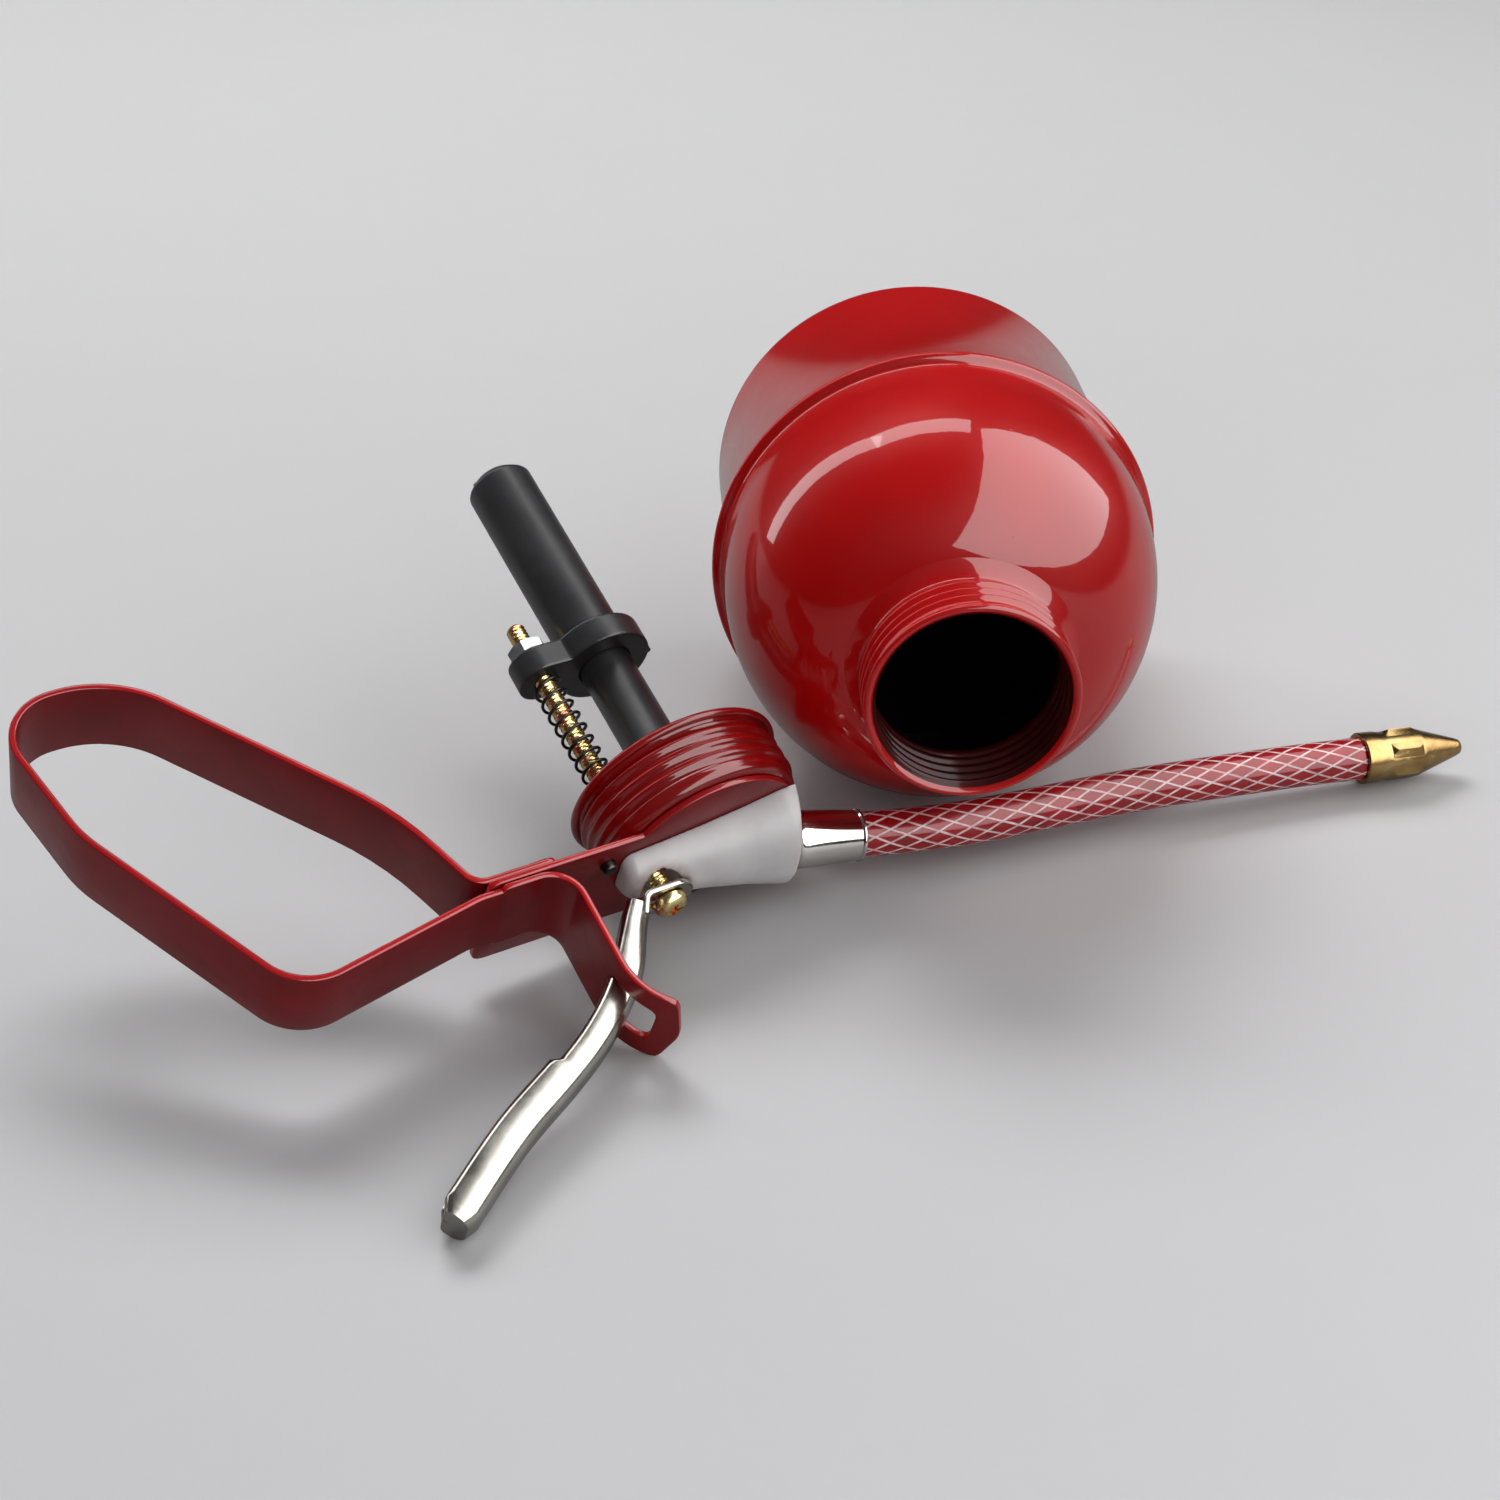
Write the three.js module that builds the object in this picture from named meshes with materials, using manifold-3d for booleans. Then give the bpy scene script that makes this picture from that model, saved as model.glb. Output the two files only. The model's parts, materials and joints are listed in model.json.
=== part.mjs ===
// A hand-pump oil can, taken apart for filling: the pump head with its handle, lever and hose lies
// on the bench beside the open reservoir. Millimetres, +Z up, the bench is z = 0.
import * as THREE from "three";
import { mergeVertices } from "three/addons/utils/BufferGeometryUtils.js";
import Module from "manifold-3d";

const wasm = await Module();
wasm.setup();
const { degToRad } = THREE.MathUtils;

// ---------------------------------------------------------------- driving dimensions
// Reservoir, in its own frame: z = 0 at the base, +Z towards the mouth.
const cup = { radius: 41.5, height: 47.5, wall: 0.5, footInner: 36, footRecess: 1.5, edgeRound: 2.5 };
const bead = { plane: 48.2, radius: 45, lip: 42.4, fold: 0.8, skirt: 43.3 };
const dome = { shoulderRadius: 42.9, shoulder: 55.6, depth: 35.9, innerRadius: 15, power: 2.14, wall: 0.5 };
const neck = { root: 19.2, crest: 19.95, bore: 17.6, foot: 93.6, mouth: 105.5, lip: 0.7 };
const neckThread = { ridges: 4, pitch: 2.6, first: 1.6 };

// Pump head, in its own frame: +Z out of the reservoir along the cap's axis, x = 0, y = 0 on that
// axis, z = 0 at the cap's top face, +X towards the hose.
const lap = 0.1; // gap between pieces that are clamped or welded together
const cap = { root: 20.05, crest: 20.75, wall: 0.4, depth: 13.9, corner: 2 };
const capRim = { radius: 21.7, wire: 0.85 };
const capThread = { ridges: 4, pitch: 2.7, first: -3.3 };
const gasket = { inner: 16.8, outer: 19.3, top: -0.5, bottom: -2.1, chamfer: 0.9 };
const plate = { thickness: 1.3, radius: 18.5, front: 15.2, rear: -47, left: 9.5, right: -16.4, corner: 2 };
const strap = { thickness: 1.3, loopWidth: 17, tongueWidth: 19, tongueTop: 37, tongueCorner: 5 };
const slot = { width: 9.2, bottom: 22.2, top: 32 };
const hub = { rear: -19.5, spigot: 6, spigotEnd: -7, wellDepth: 4.2, seat: 5.4, seatZ: 8 };
const pin = { x: -22.4, y: 3.8, radius: 1.4, hole: 1.5, low: -1.2, proud: 1.6 };
const sealWasher = { inner: 6.4, outer: 8.2, low: -1.5 };
const outlet = { x: 14.6, z: 6.2, tilt: 14.5, bore: 1.7, barb: 3.1 };
const outletValve = { bore: 3.1, top: 4.4, ball: 2.4, ballZ: -6.4 };
const valveCoil = { radius: 2.2, wire: 0.3, low: -3.4, high: 3.9, turns: 5 };
const screw = { x: -13.3, radius: 1.95, end: -56.7, headRadius: 3.3, headUnder: 10.2, headHeight: 2.5 };
const recess = { long: 3.6, wide: 0.8, depth: 0.9 };
const nut = { radius: 4.05, thickness: 3.2 };
const tube = { radius: 5.35, bore: 1.6, end: -73.5, groove: 4 };
const socket = { radius: 8, bore: 6.3, top: -1.6, floor: -7.2, end: -9.5 };
const cylinder = { radius: 6.9, bore: 5.7, top: -42.7, end: -93.3, ring: 9.7, armThick: 5.6, armEnd: 5.3 };
const valve = { webTop: -82, webBottom: -84, pocket: 3.2, plugTop: -88.8, ball: 2, ballRise: 0.95 };
const coil = { radius: 2.82, wire: 0.33, turns: 14, gap: 0.15 };
const lever = { width: 8, sheet: 1.2, rootDepth: 3.4, depth: 6.6, tipDepth: 3.6, pivotX: -31.75, pivotZ: 22.3 };
const eye = { z: 9.3, end: -8, radius: 4.2, thickness: 1.3, slotWidth: 4.6, slotLength: 6.6 };
const ferrule = { length: 15.2, rearRadius: 5.9, frontRadius: 4.95, wall: 0.35, floor: 2.4 };
const hose = { radius: 4.55, bore: 2.6, bend: 18, halfGap: 0.35 };
const nipple = { bore: 1.4, thread: 3, back: -5.7, front: 14 };
const tip = { collarRadius: 5.5, hex: 10.6, length: 23, hexEnd: 15, pointRadius: 1.6, bore: 1, stem: 9 };
const round = 32; // sides of the large round pieces
const small = 20; // sides of the small ones

// Where the two halves lie on the bench: position of their own origins, and turns about x, y, z.
const benchHead = { at: [-8.45, -54.32, 19.38], turn: [111.51, 3.33, 31.71] };
const benchReservoir = { at: [34.52, 51.33, 41.18], turn: [85.6, 0, 3.2] };

// ---------------------------------------------------------------- finishes
const finish = (color, roughness, metalness) => new THREE.MeshStandardMaterial({ color, roughness, metalness });
const redPaint = finish(0xa80c12, 0.18, 0);
const strapPaint = finish(0x8a1c20, 0.4, 0);
const blackPlastic = finish(0x2b2b2d, 0.45, 0);
const nylon = finish(0xd8d4d2, 0.5, 0);
const chromePlate = finish(0xd9d9d6, 0.12, 1);
const zincYellow = finish(0xc9a24a, 0.35, 1);
const zincWhite = finish(0xc4c7c9, 0.4, 1);
const springSteel = finish(0x4a4a4a, 0.4, 1);
const ballSteel = finish(0xb8babd, 0.15, 1);
const brass = finish(0xc9a04a, 0.25, 1);
const hosePlastic = finish(0xb3202c, 0.3, 0);
const blackRubber = finish(0x1c1c1c, 0.8, 0);

// ---------------------------------------------------------------- solids
function toSolid(geometry) {
  const bare = geometry.clone();
  bare.deleteAttribute("normal");
  bare.deleteAttribute("uv");
  const merged = mergeVertices(bare, 1e-4);
  const vertProperties = merged.attributes.position.array;
  return new wasm.Manifold(new wasm.Mesh({ numProp: 3, vertProperties, triVerts: merged.index.array }));
}

function toGeometry(solid) {
  const mesh = solid.getMesh();
  const geometry = new THREE.BufferGeometry();
  geometry.setAttribute("position", new THREE.BufferAttribute(mesh.vertProperties, 3));
  geometry.setIndex(new THREE.BufferAttribute(mesh.triVerts, 1));
  return geometry;
}

const cut = (body, ...tools) =>
  toGeometry(tools.reduce((solid, tool) => solid.subtract(toSolid(tool)), toSolid(body)));

const join = (body, ...others) =>
  toGeometry(others.reduce((solid, other) => solid.add(toSolid(other)), toSolid(body)));

// A solid of revolution about Z from [radius, z] points.
function revolve(points, sides = small) {
  const profile = points.map(([r, z]) => new THREE.Vector2(r, z));
  if (THREE.ShapeUtils.area(profile) < 0) profile.reverse();
  return new THREE.LatheGeometry(profile, sides).rotateX(Math.PI / 2);
}

// A plain round bar about a line parallel to Z.
function bar(radius, low, high, x = 0, y = 0, sides = small) {
  return revolve([[0, low], [radius, low], [radius, high], [0, high]], sides).translate(x, y, 0);
}

// A tube or washer about Z.
function ring(inner, outer, low, high, sides = small) {
  return revolve([[inner, low], [outer, low], [outer, high], [inner, high], [inner, low]], sides);
}

// Points on an arc, from one angle to another in degrees.
function arc(x, z, radius, from, to, steps) {
  return Array.from({ length: steps + 1 }, (_, i) => {
    const angle = degToRad(from + ((to - from) * i) / steps);
    return [x + radius * Math.cos(angle), z + radius * Math.sin(angle)];
  });
}

// An outline drawn in the x-z plane, made solid from y = low to y = high.
function acrossY(points, low, high) {
  const shape = new THREE.Shape(points.map(([x, z]) => new THREE.Vector2(x, z)));
  const solid = new THREE.ExtrudeGeometry(shape, { depth: high - low, bevelEnabled: false });
  return solid.rotateX(Math.PI / 2).translate(0, high, 0);
}

// A line through corners [x, z, bend radius], with each corner bent round.
function bentLine(corners, stepDegrees = 9) {
  const line = [];
  corners.forEach(([x, z, radius = 0], i) => {
    const here = new THREE.Vector2(x, z);
    if (!radius || i === 0 || i === corners.length - 1) {
      line.push(here);
      return;
    }
    const toPrevious = new THREE.Vector2(...corners[i - 1].slice(0, 2)).sub(here).normalize();
    const toNext = new THREE.Vector2(...corners[i + 1].slice(0, 2)).sub(here).normalize();
    const halfAngle = Math.acos(toPrevious.dot(toNext)) / 2;
    const middle = toPrevious.clone().add(toNext).normalize();
    const centre = here.clone().addScaledVector(middle, radius / Math.sin(halfAngle));
    const start = here.clone().addScaledVector(toPrevious, radius / Math.tan(halfAngle)).sub(centre);
    const turn = Math.sign(toPrevious.cross(toNext)) * -(Math.PI - 2 * halfAngle);
    const steps = Math.max(2, Math.round(Math.abs(turn) / degToRad(stepDegrees)));
    for (let k = 0; k <= steps; k += 1) {
      line.push(start.clone().rotateAround(new THREE.Vector2(), (turn * k) / steps).add(centre));
    }
  });
  return line;
}

// The outline of a band whose middle is a line; thickness(t) is its thickness at 0..1 along it.
function bandOutline(line, thickness) {
  const side = (sign) =>
    line.map((point, i) => {
      const before = line[Math.max(i - 1, 0)];
      const after = line[Math.min(i + 1, line.length - 1)];
      const along = after.clone().sub(before).normalize();
      const half = (sign * thickness(i / (line.length - 1))) / 2;
      return [point.x - along.y * half, point.y + along.x * half];
    });
  return [...side(1), ...side(-1).reverse()];
}

class Helix extends THREE.Curve {
  constructor(radius, low, high, turns) {
    super();
    Object.assign(this, { radius, low, high, turns });
  }
  getPoint(t, target = new THREE.Vector3()) {
    const angle = 2 * Math.PI * this.turns * t;
    const z = this.low + (this.high - this.low) * t;
    return target.set(this.radius * Math.cos(angle), this.radius * Math.sin(angle), z);
  }
}

// A round bar, or a pipe when it has a bore, swept along a curve.
function sweep(curve, radius, steps, sides, bore = 0) {
  const shape = new THREE.Shape().absarc(0, 0, radius, 0, 2 * Math.PI);
  if (bore) shape.holes.push(new THREE.Path().absarc(0, 0, bore, 0, 2 * Math.PI, true));
  return new THREE.ExtrudeGeometry(shape, { extrudePath: curve, steps, curveSegments: sides });
}

// ---------------------------------------------------------------- the two halves
const head = new THREE.Group();
const reservoir = new THREE.Group();

function place(group, name, geometry, material) {
  const mesh = new THREE.Mesh(geometry, material);
  mesh.name = name;
  group.add(mesh);
  return mesh;
}

// ---------------------------------------------------------------- reservoir
// Drawn cup with a recessed floor, a round foot edge and a flange that the dome is folded over.
function reservoirCup() {
  const { radius, height, wall, footInner, footRecess, edgeRound } = cup;
  const edge = radius - edgeRound;
  const outside = [
    [0, footRecess],
    [footInner - footRecess, footRecess],
    [footInner, 0],
    ...arc(edge, edgeRound, edgeRound, -90, 0, 4),
    [radius, height],
    [bead.radius - bead.fold, height],
    [bead.radius - bead.fold, height + wall],
  ];
  const inside = [
    [radius - wall, height + wall],
    ...arc(edge, edgeRound, edgeRound - wall, 0, -90, 4),
    [footInner + 0.3, wall],
    [footInner - footRecess, footRecess + wall],
    [0, footRecess + wall],
  ];
  return revolve([...outside, ...inside], round);
}

// The dome's radius at a distance past its shoulder.
function domeRadius(past) {
  const { shoulderRadius, innerRadius, depth, power } = dome;
  const k = past / depth;
  return innerRadius + (shoulderRadius - innerRadius) * (1 - k ** power) ** (1 / power);
}

// Domed top, folded round the cup's flange at one end and drawn into a threaded neck at the other.
function reservoirDome() {
  const { shoulder, wall, depth } = dome;
  const flange = cup.height + cup.wall + lap;
  const fold = [
    [bead.lip, cup.height - lap],
    [bead.lip, cup.height - lap - wall],
    ...arc(bead.radius - bead.fold, bead.plane - 0.2, bead.fold, -90, 90, 4),
    [bead.skirt, flange + wall + 0.3],
  ];
  const swell = (steps) =>
    Array.from({ length: steps + 1 }, (_, i) => depth * 0.975 * Math.sin((i / steps) * (Math.PI / 2)));
  const outer = swell(10).map((past) => [domeRadius(past), shoulder + past]);
  const inner = swell(10).map((past) => [domeRadius(past) - wall, shoulder + past - wall * (past / depth)]);
  const threads = [];
  for (let i = 0; i < neckThread.ridges; i += 1) {
    const z = neck.foot + neckThread.first + i * neckThread.pitch;
    threads.push([neck.root, z - 1], [neck.crest, z], [neck.root, z + 1]);
  }
  const lip = arc(neck.crest - neck.lip, neck.mouth - neck.lip, neck.lip, 0, 90, 3);
  lip.push([neck.bore + 0.4, neck.mouth]);
  const insideNeck = [[neck.bore, neck.mouth - 0.5], [neck.bore, neck.foot - 1.2]];
  const insideSkirt = [
    [bead.skirt - wall, flange + 0.3],
    [bead.radius - 1.3, flange],
    [bead.radius - 0.6, flange],
    [bead.radius - 0.6, cup.height - lap],
    [bead.lip, cup.height - lap],
  ];
  const outside = [...fold, ...outer, [neck.root, neck.foot - 0.6], ...threads, ...lip];
  return revolve([...outside, ...insideNeck, ...inner.reverse(), ...insideSkirt], round);
}

place(reservoir, "reservoir_cup", reservoirCup(), redPaint);
place(reservoir, "reservoir_dome", reservoirDome(), redPaint);

// ---------------------------------------------------------------- cap and base plate
const plateTop = lap + plate.thickness;
const hubFloor = plateTop + lap;
const screwHole = (low, high, clearance = 0.4) => bar(screw.radius + clearance, low, high, screw.x);
const spigotHole = () => bar(hub.spigot + 0.3, -3, 3);

// Screw cap pressed from sheet, with rolled thread ridges and a rim rolled outwards.
function screwCap() {
  const { root, crest, wall, depth, corner } = cap;
  const outside = [[0, 0], ...arc(root - corner, -corner, corner, 90, 0, 3)];
  const inside = [[0, -wall], ...arc(root - corner, -corner, corner - wall, 90, 0, 3)];
  for (let i = 0; i < capThread.ridges; i += 1) {
    const z = capThread.first - i * capThread.pitch;
    for (const [line, shift] of [[outside, 0], [inside, wall]]) {
      line.push([root - shift, z + 1], [crest - shift, z], [root - shift, z - 1]);
    }
  }
  const roll = arc(capRim.radius - capRim.wire, capRim.wire - depth, capRim.wire, 120, -90, 5);
  const body = revolve([...outside, ...roll, [root - wall, -depth + 0.4], ...inside.reverse()], round);
  return cut(body, spigotHole(), screwHole(-3, 3));
}

// Ring of rubber that the reservoir's lip is screwed against, chamfered to sit in the cap's corner.
function capGasket() {
  const { inner, outer, top, bottom, chamfer } = gasket;
  const section = [[inner, top], [outer - chamfer, top], [outer, top - 1], [outer, bottom], [inner, bottom]];
  return revolve([...section, [inner, top]], round);
}

// Base plate: a disc on the cap, cut straight in front, with a wide tab to the rear.
function basePlate() {
  const { radius, front, rear, left, right, corner } = plate;
  const nose = Math.acos(front / radius);
  const shape = new THREE.Shape();
  shape.moveTo(front, -radius * Math.sin(nose));
  shape.absarc(0, 0, radius, nose, Math.PI - Math.asin(left / radius));
  shape.lineTo(rear + corner, left);
  shape.quadraticCurveTo(rear, left, rear, left - corner);
  shape.lineTo(rear, right + corner);
  shape.quadraticCurveTo(rear, right, rear + corner, right);
  shape.absarc(0, 0, radius, Math.PI + Math.asin(-right / radius), 2 * Math.PI - nose);
  const settings = { depth: plate.thickness, bevelEnabled: false, curveSegments: 16 };
  const blank = new THREE.ExtrudeGeometry(shape, settings).translate(0, 0, lap);
  return cut(blank, spigotHole(), screwHole(-3, 3), bar(pin.hole, -3, 3, pin.x, pin.y));
}

place(head, "screw_cap", screwCap(), redPaint);
place(head, "cap_gasket", capGasket(), blackRubber);
place(head, "base_plate", basePlate(), strapPaint);

// ---------------------------------------------------------------- handle
// One bent strip: from under the plate's tab round the hand loop, back on top of the tab, and up
// into the slotted tongue that the lever works against.
function handleStrap() {
  const onTop = plateTop + lap + strap.thickness / 2;
  const under = -strap.thickness / 2 - 0.05;
  const loop = bentLine([
    [-32.8, under],
    [-48.6, under, 4],
    [-56, -20, 60],
    [-92, -63.6, 21],
    [-114.5, -62, 9.5],
    [-108, -33, 25],
    [-84.7, 8.6, 11],
    [-49, onTop, 12],
    [-43, onTop],
  ]);
  const tongue = bentLine([
    [-45, onTop],
    [-31.7, onTop, 6],
    [-31.7, 28.9, 14],
    [-24.2, 35.8],
  ]);
  const sheet = () => strap.thickness;
  const strip = (line, width) => acrossY(bandOutline(line, sheet), -width / 2, width / 2);
  const whole = join(strip(loop, strap.loopWidth), strip(tongue, strap.tongueWidth));
  return cut(whole, slotTool(), ...tongueCorners());
}

const throughTongue = -28; // an x in the middle of whatever is cut right through the tongue

// The tongue's slot, cut straight through along x.
function slotTool() {
  const high = slot.top - slot.bottom;
  return new THREE.BoxGeometry(20, slot.width, high).translate(throughTongue, 0, slot.bottom + high / 2);
}

// What rounds the tongue's free end off.
function tongueCorners() {
  const { tongueWidth, tongueTop: top, tongueCorner: corner } = strap;
  return [-1, 1].map((side) => {
    const y = side * (tongueWidth / 2 - corner);
    const block = new THREE.BoxGeometry(30, corner, corner);
    block.translate(throughTongue, y + side * (corner / 2 + 0.01), top - corner / 2);
    const roundBar = bar(corner, -20, 20).rotateY(Math.PI / 2).translate(throughTongue, y, top - corner);
    return cut(block, roundBar);
  });
}

place(head, "handle_strap", handleStrap(), strapPaint);

// ---------------------------------------------------------------- nozzle hub and outlet valve
const outletTurn = -degToRad(outlet.tilt);
// Lays something made along +Z onto the outlet's axis, z = 0 at the hub's front face.
const ontoOutlet = (geometry) =>
  geometry.rotateY(Math.PI / 2 + outletTurn).translate(outlet.x, 0, outlet.z);

// Moulded half-cone on the plate, with a threaded spigot down through plate and cap.
function nozzleHub() {
  const outline = [
    [0, hub.rear],
    ...arc(3.2, hub.rear + 2.6, 2.6, -90, -25, 3),
    [6.5, -11.6],
    [7.9, -3.3],
    [9.7, 5],
    [11.8, 12.5],
    [12.3, 18],
    [0, 18],
  ];
  const cone = revolve(outline, 36).rotateY(Math.PI / 2).translate(0, 0, hubFloor);
  const below = new THREE.BoxGeometry(60, 60, 30).translate(0, 0, hubFloor - 15);
  const ahead = ontoOutlet(new THREE.BoxGeometry(50, 50, 20).translate(0, 0, 10));
  const halfCone = cut(cone, below, ahead);
  const spigot = bar(hub.spigot, hub.spigotEnd, hubFloor + 1);
  const valveBore = bar(outletValve.bore, hub.spigotEnd - 1, outletValve.top);
  const outletBore = ontoOutlet(bar(outlet.bore, -13.2, 1));
  const barbBore = ontoOutlet(bar(outlet.barb, -6, 1));
  const well = bar(screw.headRadius + 0.9, hub.wellDepth, 20, screw.x);
  const tabSeat = bar(hub.seat, hub.seatZ, 20, screw.x);
  return cut(join(halfCone, spigot), valveBore, outletBore, barbBore, screwHole(-5, 20), well, tabSeat);
}

function outletCoil() {
  const { radius, wire, low, high, turns } = valveCoil;
  return sweep(new Helix(radius, low, high, turns), wire, turns * 8, 2);
}

place(head, "nozzle_hub", nozzleHub(), nylon);
place(head, "hub_pin", bar(pin.radius, pin.low, plateTop + pin.proud, pin.x, pin.y, 12), springSteel);
const washer = ring(sealWasher.inner, sealWasher.outer, sealWasher.low, -cap.wall - lap);
place(head, "hub_seal_washer", washer, blackRubber);
const outletBall = new THREE.SphereGeometry(outletValve.ball, 16, 10).translate(0, 0, outletValve.ballZ);
place(head, "outlet_ball", outletBall, ballSteel);
place(head, "outlet_spring", outletCoil(), springSteel);

// ---------------------------------------------------------------- pump
// Hollow plunger: a socket screwed on the hub's spigot, then a thin tube down into the cylinder.
function plungerTube() {
  const { radius, bore, end, groove } = tube;
  const outside = [
    [socket.bore, socket.top],
    [socket.radius, socket.top],
    [socket.radius, socket.end + 1],
    [socket.radius - 1, socket.end],
    [radius, socket.end - 2],
    [radius, end + 5],
    [groove, end + 5],
    [groove, end + 1],
    [radius - 0.2, end + 1],
    [radius - 0.2, end],
  ];
  const seat = [[bore, end], [bore, socket.floor - 2], [3, socket.floor], [socket.bore, socket.floor]];
  return revolve([...outside, ...seat, [socket.bore, socket.top]]);
}

// Moulded cylinder that slides on the plunger, with the arm the pull screw lifts it by.
function pumpCylinder() {
  const { radius, bore, top, end, ring: ringRadius, armThick, armEnd } = cylinder;
  const low = top - armThick;
  const barrel = revolve([
    [0, end],
    [radius - 1.2, end],
    [radius, end + 1.2],
    [radius, low + 1],
    [radius, top],
    [0, top],
  ]);
  const collar = bar(ringRadius, low, top, 0, 0, 32);
  const armShape = new THREE.BoxGeometry(-screw.x, armEnd * 2, armThick);
  armShape.translate(screw.x / 2, 0, top - armThick / 2);
  const armBoss = bar(armEnd, low, top, screw.x);
  const chamber = bar(bore, valve.webTop, top - 4);
  const guide = bar(tube.radius + 0.1, top - 5, top + 1);
  const pocket = bar(valve.pocket, end - 1, valve.webBottom);
  const centreHole = bar(1.2, valve.webBottom - 1, valve.webTop + 1, 0, 0, 12);
  const crossHoles = [0, 1, 2].map((i) => {
    const angle = (i * 2 * Math.PI) / 3;
    return bar(0.7, valve.webBottom - 1, valve.webTop + 1, 2.2 * Math.cos(angle), 2.2 * Math.sin(angle), 8);
  });
  const body = join(barrel, collar, armShape, armBoss);
  return cut(body, chamber, guide, pocket, centreHole, ...crossHoles, screwHole(low - 1, top + 1, 0.15));
}

// Plug pressed into the cylinder's foot: the oil's way in, and the inlet ball's seat.
const inletPlug = () =>
  revolve([
    [1, cylinder.end - 1.3],
    [2.3, cylinder.end - 1.3],
    [valve.pocket - lap, cylinder.end],
    [valve.pocket - lap, valve.plugTop],
    [1.9, valve.plugTop],
    [1, valve.plugTop - 1.2],
    [1, cylinder.end - 1.3],
  ]);

place(head, "plunger_tube", plungerTube(), blackPlastic);
const seal = ring(tube.groove + 0.15, cylinder.bore - 0.05, tube.end + 1.2, tube.end + 4.8);
place(head, "plunger_seal", seal, blackRubber);
place(head, "pump_cylinder", pumpCylinder(), blackPlastic);
place(head, "inlet_plug", inletPlug(), blackPlastic);
const inletBall = new THREE.SphereGeometry(valve.ball, 16, 10).translate(0, 0, valve.plugTop + valve.ballRise);
place(head, "inlet_ball", inletBall, ballSteel);

// ---------------------------------------------------------------- pull screw, nut and spring
// Pan-head screw with a cross recess.
function pullScrew() {
  const { radius, end, headRadius, headUnder, headHeight } = screw;
  const topZ = headUnder + headHeight;
  const body = revolve([
    [0, end],
    [radius - 0.5, end],
    [radius, end + 0.6],
    [radius, headUnder],
    [headRadius, headUnder],
    [headRadius, headUnder + 1.2],
    [headRadius - 0.7, topZ - 0.4],
    [headRadius - 1.8, topZ],
    [0, topZ],
  ]);
  const { long, wide, depth } = recess;
  const arms = [[long, wide], [wide, long]].map(([x, y]) => new THREE.BoxGeometry(x, y, 2 * depth));
  return cut(body, ...arms.map((arm) => arm.translate(0, 0, topZ))).translate(screw.x, 0, 0);
}

// Plain hexagon nut that the cylinder's arm rests on.
function pullNut() {
  const nutTop = cylinder.top - cylinder.armThick - lap;
  const blank = new THREE.CylinderGeometry(nut.radius, nut.radius, nut.thickness, 6).rotateX(Math.PI / 2);
  return cut(blank, bar(screw.radius + 0.1, -5, 5)).translate(screw.x, 0, nutTop - nut.thickness / 2);
}

place(head, "pull_screw", pullScrew(), zincYellow);
place(head, "pull_nut", pullNut(), zincWhite);
// Open coil round the screw, between the cap and the cylinder's arm.
function returnCoil() {
  const { radius, wire, turns, gap } = coil;
  const curve = new Helix(radius, cylinder.top + wire + gap, -cap.wall - wire - gap, turns);
  return sweep(curve, wire, turns * 8, 2).translate(screw.x, 0, 0);
}

place(head, "return_spring", returnCoil(), springSteel);

// ---------------------------------------------------------------- lever
// Folded channel: a web away from the hand loop, two flanges towards it, and a flat eye that the
// pull screw passes through. It rocks on the lower edge of the tongue's slot.
function leverBlade() {
  const { width, sheet, rootDepth, depth, tipDepth } = lever;
  const through = [[-19.2, 11.2], [-26.5, 20.3], [-33, 26.6], [-40, 32], [-47, 36.2], [-60, 43.1], [-76, 53.9]];
  const line = new THREE.SplineCurve(through.map(([x, z]) => new THREE.Vector2(x, z))).getPoints(24);
  const { lerp, smoothstep } = THREE.MathUtils;
  const depthAt = (t) => lerp(lerp(rootDepth, depth, smoothstep(t, 0, 0.3)), tipDepth, smoothstep(t, 0.92, 1));
  const full = acrossY(bandOutline(line, depthAt), -width / 2, width / 2);
  const shifted = line.map((point, i) => {
    const before = line[Math.max(i - 1, 0)];
    const along = line[Math.min(i + 1, line.length - 1)].clone().sub(before).normalize();
    return new THREE.Vector2(point.x - along.y * sheet, point.y + along.x * sheet);
  });
  const hollowLine = shifted.slice(3, -1); // the first part is solid, and the tip is closed
  const hollow = acrossY(bandOutline(hollowLine, () => depth), sheet - width / 2, width / 2 - sheet);
  return cut(join(full, leverEye()), hollow, screwSlot(), leverNotch());
}

// Flat eye that lies under the pull screw's head, bent up into the channel.
function leverEye() {
  const { z, end, radius, thickness } = eye;
  const middle = end - radius;
  const line = bentLine([[middle, z], [-18.2, z, 2], [-19.9, 12.2]], 20);
  const neckBand = acrossY(bandOutline(line, () => thickness), -lever.width / 2, lever.width / 2);
  return join(neckBand, bar(radius, z - thickness / 2, z + thickness / 2, middle));
}

// Slot through the eye, so that the screw can stay upright while the lever rocks.
function screwSlot() {
  const { z, slotWidth, slotLength } = eye;
  const front = screw.x - 0.1;
  const straight = new THREE.BoxGeometry(slotLength, slotWidth, 9).translate(front - slotLength / 2, 0, z);
  return join(straight, bar(slotWidth / 2, z - 4.5, z + 4.5, front));
}

// Notch that sits on the lower edge of the tongue's slot: a round top over a flared mouth.
function leverNotch() {
  const outline = [...arc(0, 0, 0.95, 0, 180, 6), [-1.9, -2.5], [1.9, -2.5]];
  return acrossY(outline, -lever.width, lever.width).translate(lever.pivotX, 0, lever.pivotZ);
}

place(head, "lever", leverBlade(), chromePlate);

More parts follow.
